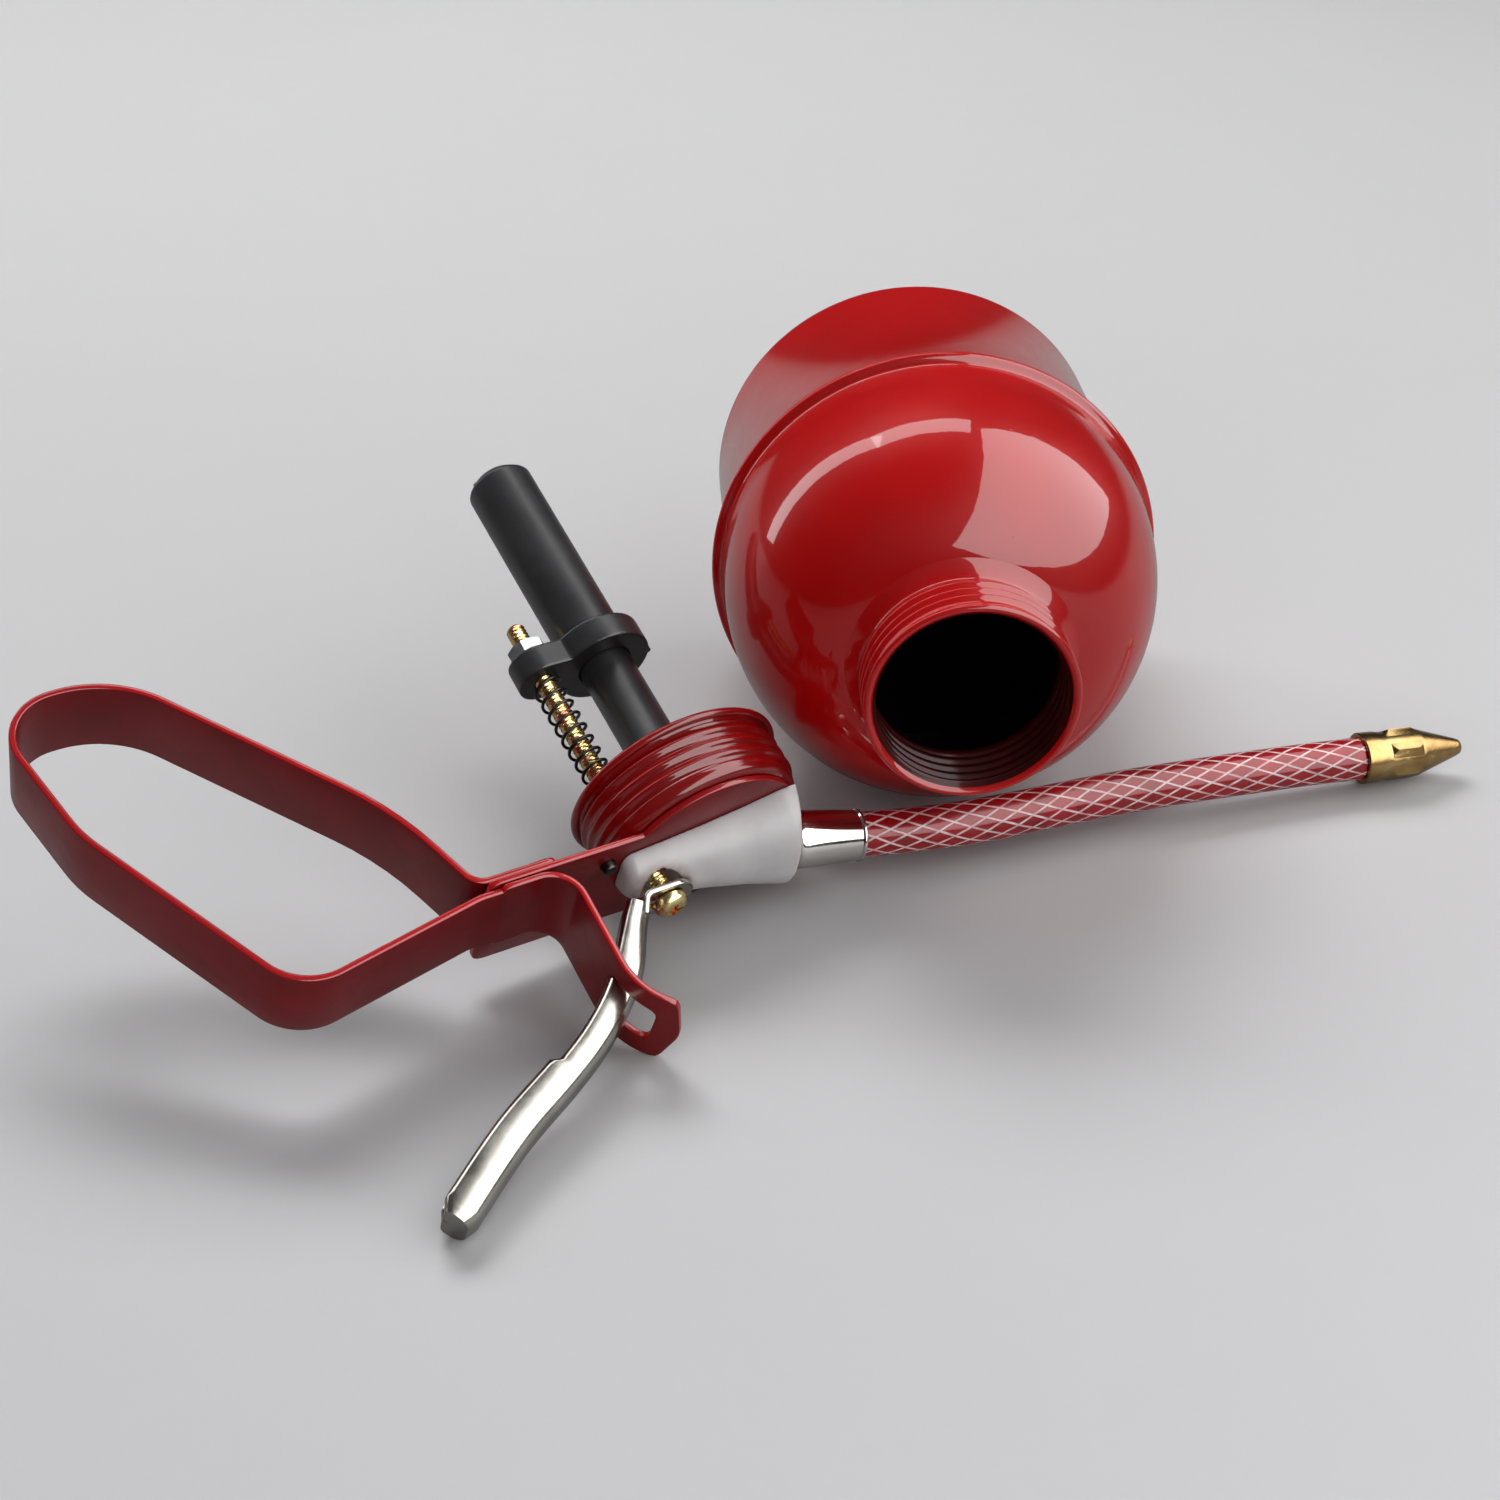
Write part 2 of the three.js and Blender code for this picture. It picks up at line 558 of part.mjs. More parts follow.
// ---------------------------------------------------------------- hose and tip
// Chrome shell pressed over the end of the hose.
function hoseFerrule() {
  const { length, rearRadius, frontRadius, wall, floor } = ferrule;
  const rearHole = nipple.thread + 0.3;
  const section = [
    [rearHole, lap],
    [rearRadius - 0.5, lap],
    [rearRadius, lap + 0.5],
    [frontRadius, length - 0.4],
    [frontRadius - wall / 2, length],
    [hose.radius + 0.08, length],
    [hose.radius + 0.08, floor],
    [rearHole, floor],
    [rearHole, lap],
  ];
  return ontoOutlet(revolve(section));
}

// Threaded nipple from the hub's bore into the hose's bore.
function hoseNipple() {
  const stem = ring(nipple.bore, hose.bore - 0.15, 2, nipple.front);
  const thread = ring(nipple.bore, nipple.thread, nipple.back, 2.2);
  return ontoOutlet(join(stem, thread));
}

const outletAim = new THREE.Vector3(Math.cos(degToRad(outlet.tilt)), 0, Math.sin(degToRad(outlet.tilt)));
const onOutlet = (distance) => new THREE.Vector3(outlet.x, 0, outlet.z).addScaledVector(outletAim, distance);

// The hose leaves along the outlet's axis and sags down onto the bench.
const hoseLine = new THREE.CatmullRomCurve3([
  onOutlet(2.8),
  onOutlet(ferrule.length + 1),
  new THREE.Vector3(49.4, 0.3, 14.8),
  new THREE.Vector3(88.6, 2.4, 21.4),
  new THREE.Vector3(123.8, 6.4, 30.2),
  new THREE.Vector3(137, 8.4, 34.2),
]);

class Stretch extends THREE.Curve {
  constructor(curve, from, to) {
    super();
    Object.assign(this, { curve, from, to });
  }
  getPoint(t, target = new THREE.Vector3()) {
    return this.curve.getPointAt(this.from + (this.to - this.from) * t, target);
  }
}

// Turns something made along +Z at the origin to point along a direction, and moves it to a point.
function aim(geometry, point, direction) {
  const turn = new THREE.Quaternion().setFromUnitVectors(new THREE.Vector3(0, 0, 1), direction);
  return geometry.applyQuaternion(turn).translate(point.x, point.y, point.z);
}

// Where the hose first bends sideways, the two lengths of it meet in domed ends.
const bendAt = hose.bend / hoseLine.getLength();
const bendPoint = hoseLine.getPointAt(bendAt);
const bendAim = hoseLine.getTangentAt(bendAt);
function hoseLength(from, to, side, steps) {
  const pipe = sweep(new Stretch(hoseLine, from, to), hose.radius, steps, 6, hose.bore);
  const block = new THREE.BoxGeometry(20, 20, 20).translate(0, 0, 10 - hose.radius);
  const ball = new THREE.SphereGeometry(hose.radius + 0.1, 20, 16).translate(0, 0, -hose.radius);
  const end = bendPoint.clone().addScaledVector(bendAim, side * hose.halfGap);
  return cut(pipe, aim(cut(block, ball), end, bendAim.clone().multiplyScalar(-side)));
}

// Brass tip: a collar against the hose's end, a hexagon, and a cone with a fine bore.
function nozzleTip() {
  const { collarRadius, hex, length, hexEnd, pointRadius, bore, stem: stemLength } = tip;
  const collar = revolve([[0, lap], [collarRadius, lap], [collarRadius, 2], [hex / 2, 2.8], [0, 2.8]]);
  const hexagon = new THREE.CylinderGeometry(hex / Math.sqrt(3), hex / Math.sqrt(3), hexEnd - 2, 6);
  const coneRadius = hex / 2 + 0.1;
  const cone = revolve([[0, 2], [coneRadius, 2], [coneRadius, hexEnd - 1], [pointRadius, length], [0, length]]);
  const stem = bar(hose.bore - 0.15, -stemLength, 1);
  const solid = join(collar, hexagon.rotateX(Math.PI / 2).translate(0, 0, 1 + hexEnd / 2), cone, stem);
  return cut(solid, bar(bore, -stemLength - 1, length + 1, 0, 0, 12));
}

place(head, "hose_ferrule", hoseFerrule(), chromePlate);
place(head, "hose_nipple", hoseNipple(), brass);
place(head, "hose_rear", hoseLength(0, bendAt, -1, 6), hosePlastic);
place(head, "hose_front", hoseLength(bendAt, 1, 1, 14), hosePlastic);
place(head, "nozzle_tip", aim(nozzleTip(), hoseLine.getPointAt(1), hoseLine.getTangentAt(1)), brass);

// ---------------------------------------------------------------- layout on the bench
const oilCan = new THREE.Group();
for (const [group, { at, turn }] of [[head, benchHead], [reservoir, benchReservoir]]) {
  group.position.set(...at);
  group.rotation.set(...turn.map(degToRad), "ZYX");
  oilCan.add(group);
}
// The origin is on the bench, under the middle of the whole layout.
const reach = new THREE.Box3().setFromObject(oilCan, true);
const middle = reach.getCenter(new THREE.Vector3());
oilCan.position.set(-middle.x, -middle.y, -reach.min.z);

export default oilCan;
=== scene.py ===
"""Looks of the pump oil can: every visible CAD node gets a fine mesh and a procedural material."""

import json
import math

import bmesh
import bpy
import numpy as np
from mathutils import Matrix, Vector


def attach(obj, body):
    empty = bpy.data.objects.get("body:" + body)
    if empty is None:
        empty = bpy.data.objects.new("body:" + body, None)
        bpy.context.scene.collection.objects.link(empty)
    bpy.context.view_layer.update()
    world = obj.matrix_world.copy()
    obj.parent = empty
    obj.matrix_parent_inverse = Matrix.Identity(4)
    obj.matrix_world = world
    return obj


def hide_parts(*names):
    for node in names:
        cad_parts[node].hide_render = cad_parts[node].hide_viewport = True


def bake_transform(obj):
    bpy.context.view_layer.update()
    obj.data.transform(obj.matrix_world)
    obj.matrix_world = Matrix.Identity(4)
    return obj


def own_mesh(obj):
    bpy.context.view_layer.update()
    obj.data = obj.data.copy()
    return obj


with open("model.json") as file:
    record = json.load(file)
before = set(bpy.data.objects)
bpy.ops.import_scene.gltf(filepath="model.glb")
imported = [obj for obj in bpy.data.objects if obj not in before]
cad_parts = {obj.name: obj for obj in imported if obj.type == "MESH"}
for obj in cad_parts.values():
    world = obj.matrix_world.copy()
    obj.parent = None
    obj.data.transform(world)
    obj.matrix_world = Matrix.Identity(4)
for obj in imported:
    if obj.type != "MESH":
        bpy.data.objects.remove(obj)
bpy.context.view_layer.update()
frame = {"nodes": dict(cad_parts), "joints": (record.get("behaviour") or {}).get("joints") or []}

# -------------------- frames
# All shapes are drawn in millimetres in the frame of their own half of the object.
MM = 0.001
JOINTS = {joint["name"]: joint for joint in frame["joints"]}
LEVER_PIVOT = (-31.75, 22.3)  # x and z of the lever's fulcrum in the pump head's frame


def local_frame(x, y, z, origin):
    """The matrix from millimetres in a half's own frame to metres in the row frame."""
    turn = Matrix((x, y, z)).transposed().to_4x4()
    return Matrix.Translation(origin) @ turn @ Matrix.Scale(MM, 4)


def head_frame():
    """+Z out of the reservoir along the cap's axis, +X to the hose, origin at the cap's top."""
    z = Vector(JOINTS["pump_lift"]["axis"]).normalized()
    y = -Vector(JOINTS["lever_squeeze"]["axis"]).normalized()
    x = y.cross(z)
    pivot = Vector(JOINTS["lever_squeeze"]["pos_m"])
    return local_frame(x, y, z, pivot - (x * LEVER_PIVOT[0] + z * LEVER_PIVOT[1]) * MM)


def reservoir_frame():
    """+Z from the reservoir's foot to its mouth."""
    z = Vector(JOINTS["reservoir_turn"]["axis"]).normalized()
    x = Vector((0, 0, 1)).cross(z).normalized()
    return local_frame(x, z.cross(x), z, Vector(JOINTS["reservoir_turn"]["pos_m"]))


HEAD = head_frame()
RESERVOIR = reservoir_frame()

# -------------------- dimensions, millimetres
CUP_RADIUS, CUP_HEIGHT, SHEET = 41.5, 47.5, 0.5
SHOULDER_RADIUS, SHOULDER, DOME_DEPTH = 42.9, 55.6, 35.9
DOME_INNER, DOME_POWER = 15.0, 2.14
NECK_ROOT, NECK_CREST, NECK_FOOT, MOUTH, MOUTH_BORE = 19.15, 20.0, 93.6, 105.5, 17.6
NECK_PITCH = 2.6
CAP_ROOT, CAP_CREST, CAP_WALL, CAP_DEPTH, CAP_RIM = 20.0, 20.8, 0.4, 13.9, 21.7
CAP_PITCH = 2.7
PLATE_LOW, PLATE_THICK = 0.1, 1.3
STRAP_THICK, LOOP_WIDTH, TONGUE_WIDTH = 1.3, 17.0, 19.0
SCREW_X, SCREW_RADIUS, SCREW_END, SCREW_UNDER = -13.3, 1.95, -56.7, 10.2
HEAD_RADIUS, HEAD_HEIGHT = 3.3, 2.5
TUBE_RADIUS, CYLINDER_RADIUS = 5.35, 6.9
ARM_TOP, ARM_THICK, CYLINDER_END = -42.7, 5.6, -93.3
OUTLET_X, OUTLET_Z, OUTLET_TILT = 14.6, 6.2, math.radians(14.5)
FERRULE_LENGTH = 15.2
HOSE_RADIUS = 4.4


# -------------------- outlines
def arc(x, z, radius, start, end, steps):
    """Points on an arc between two angles in degrees."""
    angles = np.radians(np.linspace(start, end, steps + 1))
    return [(x + radius * math.cos(a), z + radius * math.sin(a)) for a in angles]


def bent(corners, step=6.0):
    """A line through corners (a, b, bend radius), with each corner bent round."""
    line = []
    for i, (a, b, radius) in enumerate(corners):
        here = Vector((a, b))
        if radius == 0 or i in (0, len(corners) - 1):
            line.append(here)
            continue
        back = (Vector(corners[i - 1][:2]) - here).normalized()
        ahead = (Vector(corners[i + 1][:2]) - here).normalized()
        half = back.angle(ahead) / 2
        centre = here + (back + ahead).normalized() * radius / math.sin(half)
        first = here + back * radius / math.tan(half) - centre
        turn = math.copysign(math.pi - 2 * half, -back.cross(ahead))
        count = max(3, round(abs(turn) / math.radians(step)))
        for k in range(count + 1):
            spin = Matrix.Rotation(turn * k / count, 2)
            line.append(centre + spin @ first)
    return [tuple(point) for point in line]


def spaced(line, spacing):
    """The same line with a point at least every spacing, as an array."""
    line = np.array(line, float)
    out = [line[0]]
    for before, after in zip(line[:-1], line[1:]):
        count = max(1, math.ceil(np.linalg.norm(after - before) / spacing))
        out += [before + (after - before) * k / count for k in range(1, count + 1)]
    return np.array(out)


def lengths(line):
    """Distance along a line at each of its points."""
    return np.concatenate([[0], np.cumsum(np.linalg.norm(np.diff(line, axis=0), axis=1))])


def smooth(value, low, high):
    t = np.clip((value - low) / (high - low), 0, 1)
    return t * t * (3 - 2 * t)


# -------------------- meshes
def placed(name, data):
    """A new object in the scene around some data."""
    thing = bpy.data.objects.new(name, data)
    bpy.context.scene.collection.objects.link(thing)
    return thing


def piece(name, mesh, body, nodes, materials):
    """A finished mesh as a piece that rides on a body and stands for CAD nodes."""
    thing = placed(name, mesh)
    for material in materials:
        mesh.materials.append(material)
    mesh.shade_smooth()
    mesh.set_sharp_from_angle(angle=math.radians(38))
    if body:
        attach(thing, body)
    if nodes:
        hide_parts(*nodes)
    return thing


def mesh_from(bm, name, place):
    """A bmesh in millimetres as a mesh in the row frame, its faces turned outwards."""
    bmesh.ops.recalc_face_normals(bm, faces=bm.faces[:])
    mesh = bpy.data.meshes.new(name)
    bm.to_mesh(mesh)
    bm.free()
    mesh.transform(place)
    return mesh


def grid_bmesh(grid, wrap_rows=False, inner_from=None, uv_scale=None):
    """Rows of points, each row a closed ring, joined into a skin. Rings on the axis collapse."""
    rows, columns, _ = grid.shape
    bm = bmesh.new()
    verts = [[bm.verts.new(point) for point in row] for row in grid]
    uv_layer = bm.loops.layers.uv.new("surface") if uv_scale is not None else None
    for i in range(rows if wrap_rows else rows - 1):
        upper = verts[(i + 1) % rows]
        for j in range(columns):
            k = (j + 1) % columns
            face = bm.faces.new((verts[i][j], verts[i][k], upper[k], upper[j]))
            face.material_index = int(inner_from is not None and i >= inner_from)
            if uv_layer:
                corners = ((j, i), (j + 1, i), (j + 1, i + 1), (j, i + 1))
                for loop, (u, v) in zip(face.loops, corners):
                    loop[uv_layer].uv = (u / columns, uv_scale[v])
    if not wrap_rows:
        for end in (verts[0], verts[-1]):
            if len({tuple(round(c, 5) for c in vert.co) for vert in end}) > 2:
                bm.faces.new(end)
    bmesh.ops.remove_doubles(bm, verts=bm.verts[:], dist=1e-5)
    return bm


def revolved(profile, sides=128, shift=None, inner_from=None):
    """A solid of revolution about Z. shift(angle, radius, z) gives the radius of uneven rows."""
    profile = np.array(profile, float)
    closed = np.allclose(profile[0], profile[-1])
    if closed:
        profile = profile[:-1]
    angles = np.linspace(0, 2 * math.pi, sides, endpoint=False)
    radius = np.repeat(profile[:, :1], sides, axis=1)
    if shift is not None:
        radius = shift(angles[None, :], radius, profile[:, 1:2])
    height = np.repeat(profile[:, 1:2], sides, axis=1)
    grid = np.stack([radius * np.cos(angles), radius * np.sin(angles), height], axis=2)
    return grid_bmesh(grid, wrap_rows=closed, inner_from=inner_from)


def ridge(turns, sharpness=1.0):
    """Height 0..1 of a rolled thread at a number of turns along it."""
    return (0.5 + 0.5 * np.cos(2 * math.pi * turns)) ** sharpness


def swept(points, radius, sides=12):
    """A round bar along points, its rings carried along without twist."""
    points = np.array(points, float)
    tangents = np.gradient(points, axis=0)
    tangents /= np.linalg.norm(tangents, axis=1)[:, None]
    across = np.cross(tangents[0], (0.3, 1.0, 0.2))
    angles = np.linspace(0, 2 * math.pi, sides, endpoint=False)
    grid = []
    for point, tangent in zip(points, tangents):
        across = across - tangent * (across @ tangent)
        across /= np.linalg.norm(across)
        other = np.cross(tangent, across)
        ring = np.outer(np.cos(angles), across) + np.outer(np.sin(angles), other)
        grid.append(point + ring * radius)
    return np.array(grid)


def flat_sheet(outline, holes, thickness, edge, cuts=(), rim=0):
    """A flat plate with holes: x and y from the outline, z from 0 to thickness, edges rounded.
    Its narrow sides take the material numbered rim."""
    bm = bmesh.new()
    rims = []
    for loop in [outline, *holes]:
        verts = [bm.verts.new((x, y, 0)) for x, y in loop]
        rims += [bm.edges.new((a, b)) for a, b in zip(verts, verts[1:] + verts[:1])]
    bmesh.ops.triangle_fill(bm, edges=rims, use_beauty=True)
    for cut in cuts:
        everything = bm.verts[:] + bm.edges[:] + bm.faces[:]
        bmesh.ops.bisect_plane(bm, geom=everything, plane_co=(cut, 0, 0), plane_no=(1, 0, 0))
    raised = bmesh.ops.extrude_face_region(bm, geom=bm.faces[:])
    top = [item for item in raised["geom"] if isinstance(item, bmesh.types.BMVert)]
    bmesh.ops.translate(bm, verts=top, vec=(0, 0, thickness))
    bmesh.ops.recalc_face_normals(bm, faces=bm.faces[:])
    corners = [e for e in bm.edges if len(e.link_faces) == 2 and e.calc_face_angle() > 1.2]
    rim_edges = [e for e in corners if abs(e.verts[0].co.z - e.verts[1].co.z) < 1e-6]
    bmesh.ops.bevel(bm, geom=rim_edges, offset=edge, segments=3, profile=0.5, affect="EDGES")
    for face in bm.faces:
        face.normal_update()
        face.material_index = rim if abs(face.normal.z) < 0.95 else 0
    return bm


def together(*shells):
    """Closed shells as one bmesh."""
    whole = bmesh.new()
    for shell in shells:
        mesh = bpy.data.meshes.new("shell")
        shell.to_mesh(mesh)
        shell.free()
        whole.from_mesh(mesh)
        bpy.data.meshes.remove(mesh)
    return whole


def circle(x, y, radius, sides=40):
    return arc(x, y, radius, 0, 360 * (1 - 1 / sides), sides - 1)


def finished(thing, *modifiers):
    """Adds modifiers, given as (type, settings), and applies them all."""
    for kind, settings in modifiers:
        modifier = thing.modifiers.new(kind.lower(), kind)
        for key, value in settings.items():
            setattr(modifier, key, value)
    graph = bpy.context.evaluated_depsgraph_get()
    mesh = bpy.data.meshes.new_from_object(thing.evaluated_get(graph))
    thing.modifiers.clear()
    old, thing.data = thing.data, mesh
    bpy.data.meshes.remove(old)
    return thing


def loose(bm, name="tool"):
    """A bmesh as a plain object, in millimetres, for use in booleans."""
    bmesh.ops.recalc_face_normals(bm, faces=bm.faces[:])
    mesh = bpy.data.meshes.new(name)
    bm.to_mesh(mesh)
    bm.free()
    return placed(name, mesh)


def combined(body, adds=(), cuts=()):
    """The body with other solids joined and cut. The others are used up."""
    steps = [("UNION", tool) for tool in adds] + [("DIFFERENCE", tool) for tool in cuts]
    for operation, tool in steps:
        finished(body, ("BOOLEAN", {"object": tool, "operation": operation, "solver": "EXACT"}))
        bpy.data.objects.remove(tool)
    return body


def moulded(body, voxel, passes):
    """Rounds a joined solid as if moulded: an even fine skin, then smoothed."""
    finished(body, ("REMESH", {"mode": "VOXEL", "voxel_size": voxel, "adaptivity": 0.0}))
    return finished(body, ("SMOOTH", {"factor": 0.5, "iterations": passes}))


def taken(thing):
    """The mesh of a loose object, which is then removed, without slivers."""
    mesh = thing.data.copy()
    bpy.data.objects.remove(thing)
    bm = bmesh.new()
    bm.from_mesh(mesh)
    bmesh.ops.remove_doubles(bm, verts=bm.verts[:], dist=1e-4)
    bmesh.ops.dissolve_degenerate(bm, edges=bm.edges[:], dist=1e-4)
    bm.to_mesh(mesh)
    bm.free()
    return mesh


def bar(radius, low, high, x=0.0, y=0.0, sides=48):
    bm = revolved([(0, low), (radius, low), (radius, high), (0, high)], sides)
    bmesh.ops.translate(bm, verts=bm.verts[:], vec=(x, y, 0))
    return loose(bm)


def block(size, centre):
    bm = bmesh.new()
    place = Matrix.Translation(centre) @ Matrix.Diagonal((*size, 1))
    bmesh.ops.create_cube(bm, size=1, matrix=place)
    return loose(bm)


# -------------------- materials
class Look:
    """A node material around one principled shader."""

    def __init__(self, name, **values):
        self.material = bpy.data.materials.new(name)
        self.material.use_nodes = True
        self.tree = self.material.node_tree
        self.surface = self.tree.nodes["Principled BSDF"]
        self.place = self.add("ShaderNodeTexCoord").outputs["Object"]
        for key, value in values.items():
            self.surface.inputs[key.replace("_", " ")].default_value = value

    def add(self, kind, inputs=None, **settings):
        node = self.tree.nodes.new(kind)
        for key, value in settings.items():
            setattr(node, key, value)
        for key, value in (inputs or {}).items():
            if isinstance(value, bpy.types.NodeSocket):
                self.tree.links.new(value, node.inputs[key])
            else:
                node.inputs[key].default_value = value
        return node

    def noise(self, size_mm, detail=3.0, rough=0.55, place=None):
        """Noise 0..1 with patches of about this size."""
        inputs = {"Vector": place or self.place, "Scale": 1000 / size_mm}
        inputs |= {"Detail": detail, "Roughness": rough}
        return self.add("ShaderNodeTexNoise", inputs).outputs["Fac"]

    def stretched(self, scale):
        return self.add("ShaderNodeMapping", {"Vector": self.place, "Scale": scale}).outputs[0]

    def ramp(self, value, *stops):
        """Colours (r, g, b) at positions 0..1 of a value."""
        node = self.add("ShaderNodeValToRGB", {"Fac": value})
        band = node.color_ramp
        while len(band.elements) < len(stops):
            band.elements.new(0.5)
        for element, (position, colour) in zip(band.elements, stops):
            element.position = position
            element.color = (*colour, 1)
        return node.outputs["Color"]

    def level(self, value, low, high, start=0.0, end=1.0):
        """A value's range start..end stretched onto low..high."""
        keys = {"Value": value, "From Min": start, "From Max": end, "To Min": low, "To Max": high}
        return self.add("ShaderNodeMapRange", keys).outputs[0]

    def math(self, operation, a, b=0.0):
        return self.add("ShaderNodeMath", {0: a, 1: b}, operation=operation).outputs[0]

    def mix(self, share, a, b, kind="MIX"):
        node = self.add("ShaderNodeMix", data_type="RGBA", blend_type=kind)
        for index, value in ((0, share), (6, a), (7, b)):
            if isinstance(value, bpy.types.NodeSocket):
                self.tree.links.new(value, node.inputs[index])
            else:
                node.inputs[index].default_value = value if index == 0 else (*value, 1)
        return node.outputs[2]

    def set(self, **sockets):
        for key, socket in sockets.items():
            self.tree.links.new(socket, self.surface.inputs[key.replace("_", " ")])
        return self

    def bump(self, height, depth_mm, strength=1.0, coat=False):
        """Adds relief. Calls stack, each on top of the one before."""
        keys = {"Height": height, "Distance": depth_mm * MM, "Strength": strength}
        links = self.surface.inputs["Normal"].links
        if links:
            keys["Normal"] = links[0].from_socket
        relief = self.add("ShaderNodeBump", keys).outputs[0]
        self.set(Normal=relief)
        if coat:
            self.set(Coat_Normal=relief)
        return self


def red_gloss(name, light, dark):
    """Thick glossy enamel with a faint orange peel and small nibs of dust."""
    look = Look(name, Coat_Weight=0.9, Coat_Roughness=0.035, Coat_IOR=1.5)
    look.surface.inputs["Specular IOR Level"].default_value = 0.12
    cloud = look.noise(38, 3)
    look.set(Base_Color=look.ramp(cloud, (0.3, dark), (0.7, light)))
    look.set(Roughness=look.level(look.noise(9), 0.25, 0.42))
    nibs = look.add("ShaderNodeTexVoronoi", {"Vector": look.place, "Scale": 210.0})
    nib = look.level(nibs.outputs["Distance"], 1.0, 0.0, 0.0, 0.055)
    look.bump(look.noise(3.2, 2), 0.012, coat=True)
    look.bump(nib, 0.05, coat=True)
    return look.material


def clouded(name, colours, cloud_mm, rough, rough_noise, relief_noise, depth_mm, coat=False, **values):
    """Paint, plastic or rubber: colour in soft clouds, uneven shine and a fine relief."""
    look = Look(name, **values)
    look.set(Base_Color=look.ramp(look.noise(cloud_mm, 4), *colours))
    look.set(Roughness=look.level(look.noise(*rough_noise), *rough))
    return look.bump(look.noise(*relief_noise), depth_mm, coat=coat)


def red_satin():
    """Thinner paint over rolled strip: darker, less shine, with a fine grain."""
    reds = ((0.3, (0.14, 0.002, 0.003)), (0.7, (0.20, 0.003, 0.006)))
    shine = {"Coat_Weight": 0.4, "Coat_Roughness": 0.18, "Specular_IOR_Level": 0.1}
    look = clouded("red_satin", reds, 11, (0.34, 0.52), (5, 4), (0.7, 4), 0.02, True, **shine)
    return look.bump(look.noise(5, 2), 0.05, coat=True).material


def inside_painted_shade():
    """Bare, oily inside of the painted shell, coloured near black as painted shade."""
    browns = ((0.3, (0.006, 0.004, 0.004)), (0.8, (0.020, 0.008, 0.008)))
    shine = {"Coat_Weight": 0.25, "Coat_Roughness": 0.3}
    return clouded("inside_painted_shade", browns, 14, (0.45, 0.7), (4,), (1.5,), 0.02, **shine).material


def neck_inside_painted_shade():
    """Thin red overspray down the inside of the neck, darkened nearly to black as painted shade."""
    reds = ((0.3, (0.020, 0.001, 0.001)), (0.8, (0.060, 0.001, 0.002)))
    shine = {"Coat_Weight": 0.3, "Coat_Roughness": 0.14, "Specular_IOR_Level": 0.1}
    return clouded("neck_inside_painted_shade", reds, 7, (0.35, 0.6), (4,), (1.5,), 0.02, True, **shine).material


def plastic_black():
    blacks = ((0.3, (0.012, 0.012, 0.013)), (0.8, (0.026, 0.026, 0.028)))
    shine = {"Specular_IOR_Level": 0.55}
    return clouded("black_plastic", blacks, 9, (0.26, 0.42), (6, 4), (0.9,), 0.012, **shine).material


def rubber_black():
    blacks = ((0.3, (0.010, 0.010, 0.010)), (0.8, (0.030, 0.029, 0.028)))
    return clouded("black_rubber", blacks, 6, (0.6, 0.85), (3,), (0.5,), 0.03).material


def nylon_white():
    """Moulded nylon: milky, with faint flow clouds and oil soaked in round the screw's well."""
    look = Look("white_nylon", Subsurface_Weight=0.35, Subsurface_Scale=0.004)
    look.surface.inputs["Subsurface Radius"].default_value = (1.0, 0.75, 0.6)
    cloud = look.noise(8, 4)
    milk = look.ramp(cloud, (0.3, (0.50, 0.48, 0.485)), (0.7, (0.58, 0.565, 0.57)))
    well = HEAD @ Vector((SCREW_X, 0, 8.0))
    reach = look.add("ShaderNodeVectorMath", {0: look.place, 1: tuple(well)}, operation="DISTANCE")
    near = look.level(reach.outputs["Value"], 1.0, 0.0, 3.5 * MM, 6.8 * MM)
    stain = look.math("MULTIPLY", near, look.level(look.noise(1.6, 4), 0.35, 1.0, 0.3, 0.65))
    look.set(Base_Color=look.mix(stain, milk, (0.27, 0.12, 0.06)))
    look.set(Roughness=look.level(look.noise(5, 4), 0.36, 0.52))
    return look.bump(look.noise(1.3, 3), 0.015).material


def metal(name, colours, rough, grain_mm, relief_mm):
    """A metal whose colour drifts between the stops, with a fine uneven surface."""
    look = Look(name, Metallic=1.0)
    look.set(Base_Color=look.ramp(look.noise(grain_mm * 4, 4), *colours))
    look.set(Roughness=look.level(look.noise(grain_mm * 2, 4), *rough))
    look.bump(look.noise(grain_mm, 3), relief_mm)
    return look


def chrome_plate():
    silver = ((0.3, (0.62, 0.60, 0.56)), (0.7, (0.76, 0.74, 0.70)))
    look = metal("chrome_plate", silver, (0.06, 0.16), 2.5, 0.006)
    drawn = look.noise(1.0, 3, place=look.stretched((1, 1, 0.15)))
    return look.bump(drawn, 0.004).material


def nickel_plate():
    """Dull bright nickel over pressed steel, with faint drawing lines along it."""
    silver = ((0.3, (0.34, 0.32, 0.29)), (0.7, (0.46, 0.44, 0.40)))
    look = metal("nickel_plate", silver, (0.14, 0.28), 2.5, 0.014)
    drawn = look.noise(1.0, 3, place=look.stretched((0.25, 1, 0.4)))
    return look.bump(drawn, 0.008).material


def zinc_yellow():
    """Passivated zinc: straw with pink, orange and green tints."""
    tints = (
        (0.30, (0.42, 0.10, 0.06)),
        (0.40, (0.80, 0.36, 0.18)),
        (0.50, (0.90, 0.66, 0.30)),
        (0.58, (0.66, 0.60, 0.26)),
        (0.68, (0.78, 0.34, 0.28)),
    )
    return metal("zinc_yellow", tints, (0.16, 0.34), 1.1, 0.02).material


def grey_metal(name, dark, light, rough, grain_mm, relief_mm):
    return metal(name, ((0.3, dark), (0.7, light)), rough, grain_mm, relief_mm).material


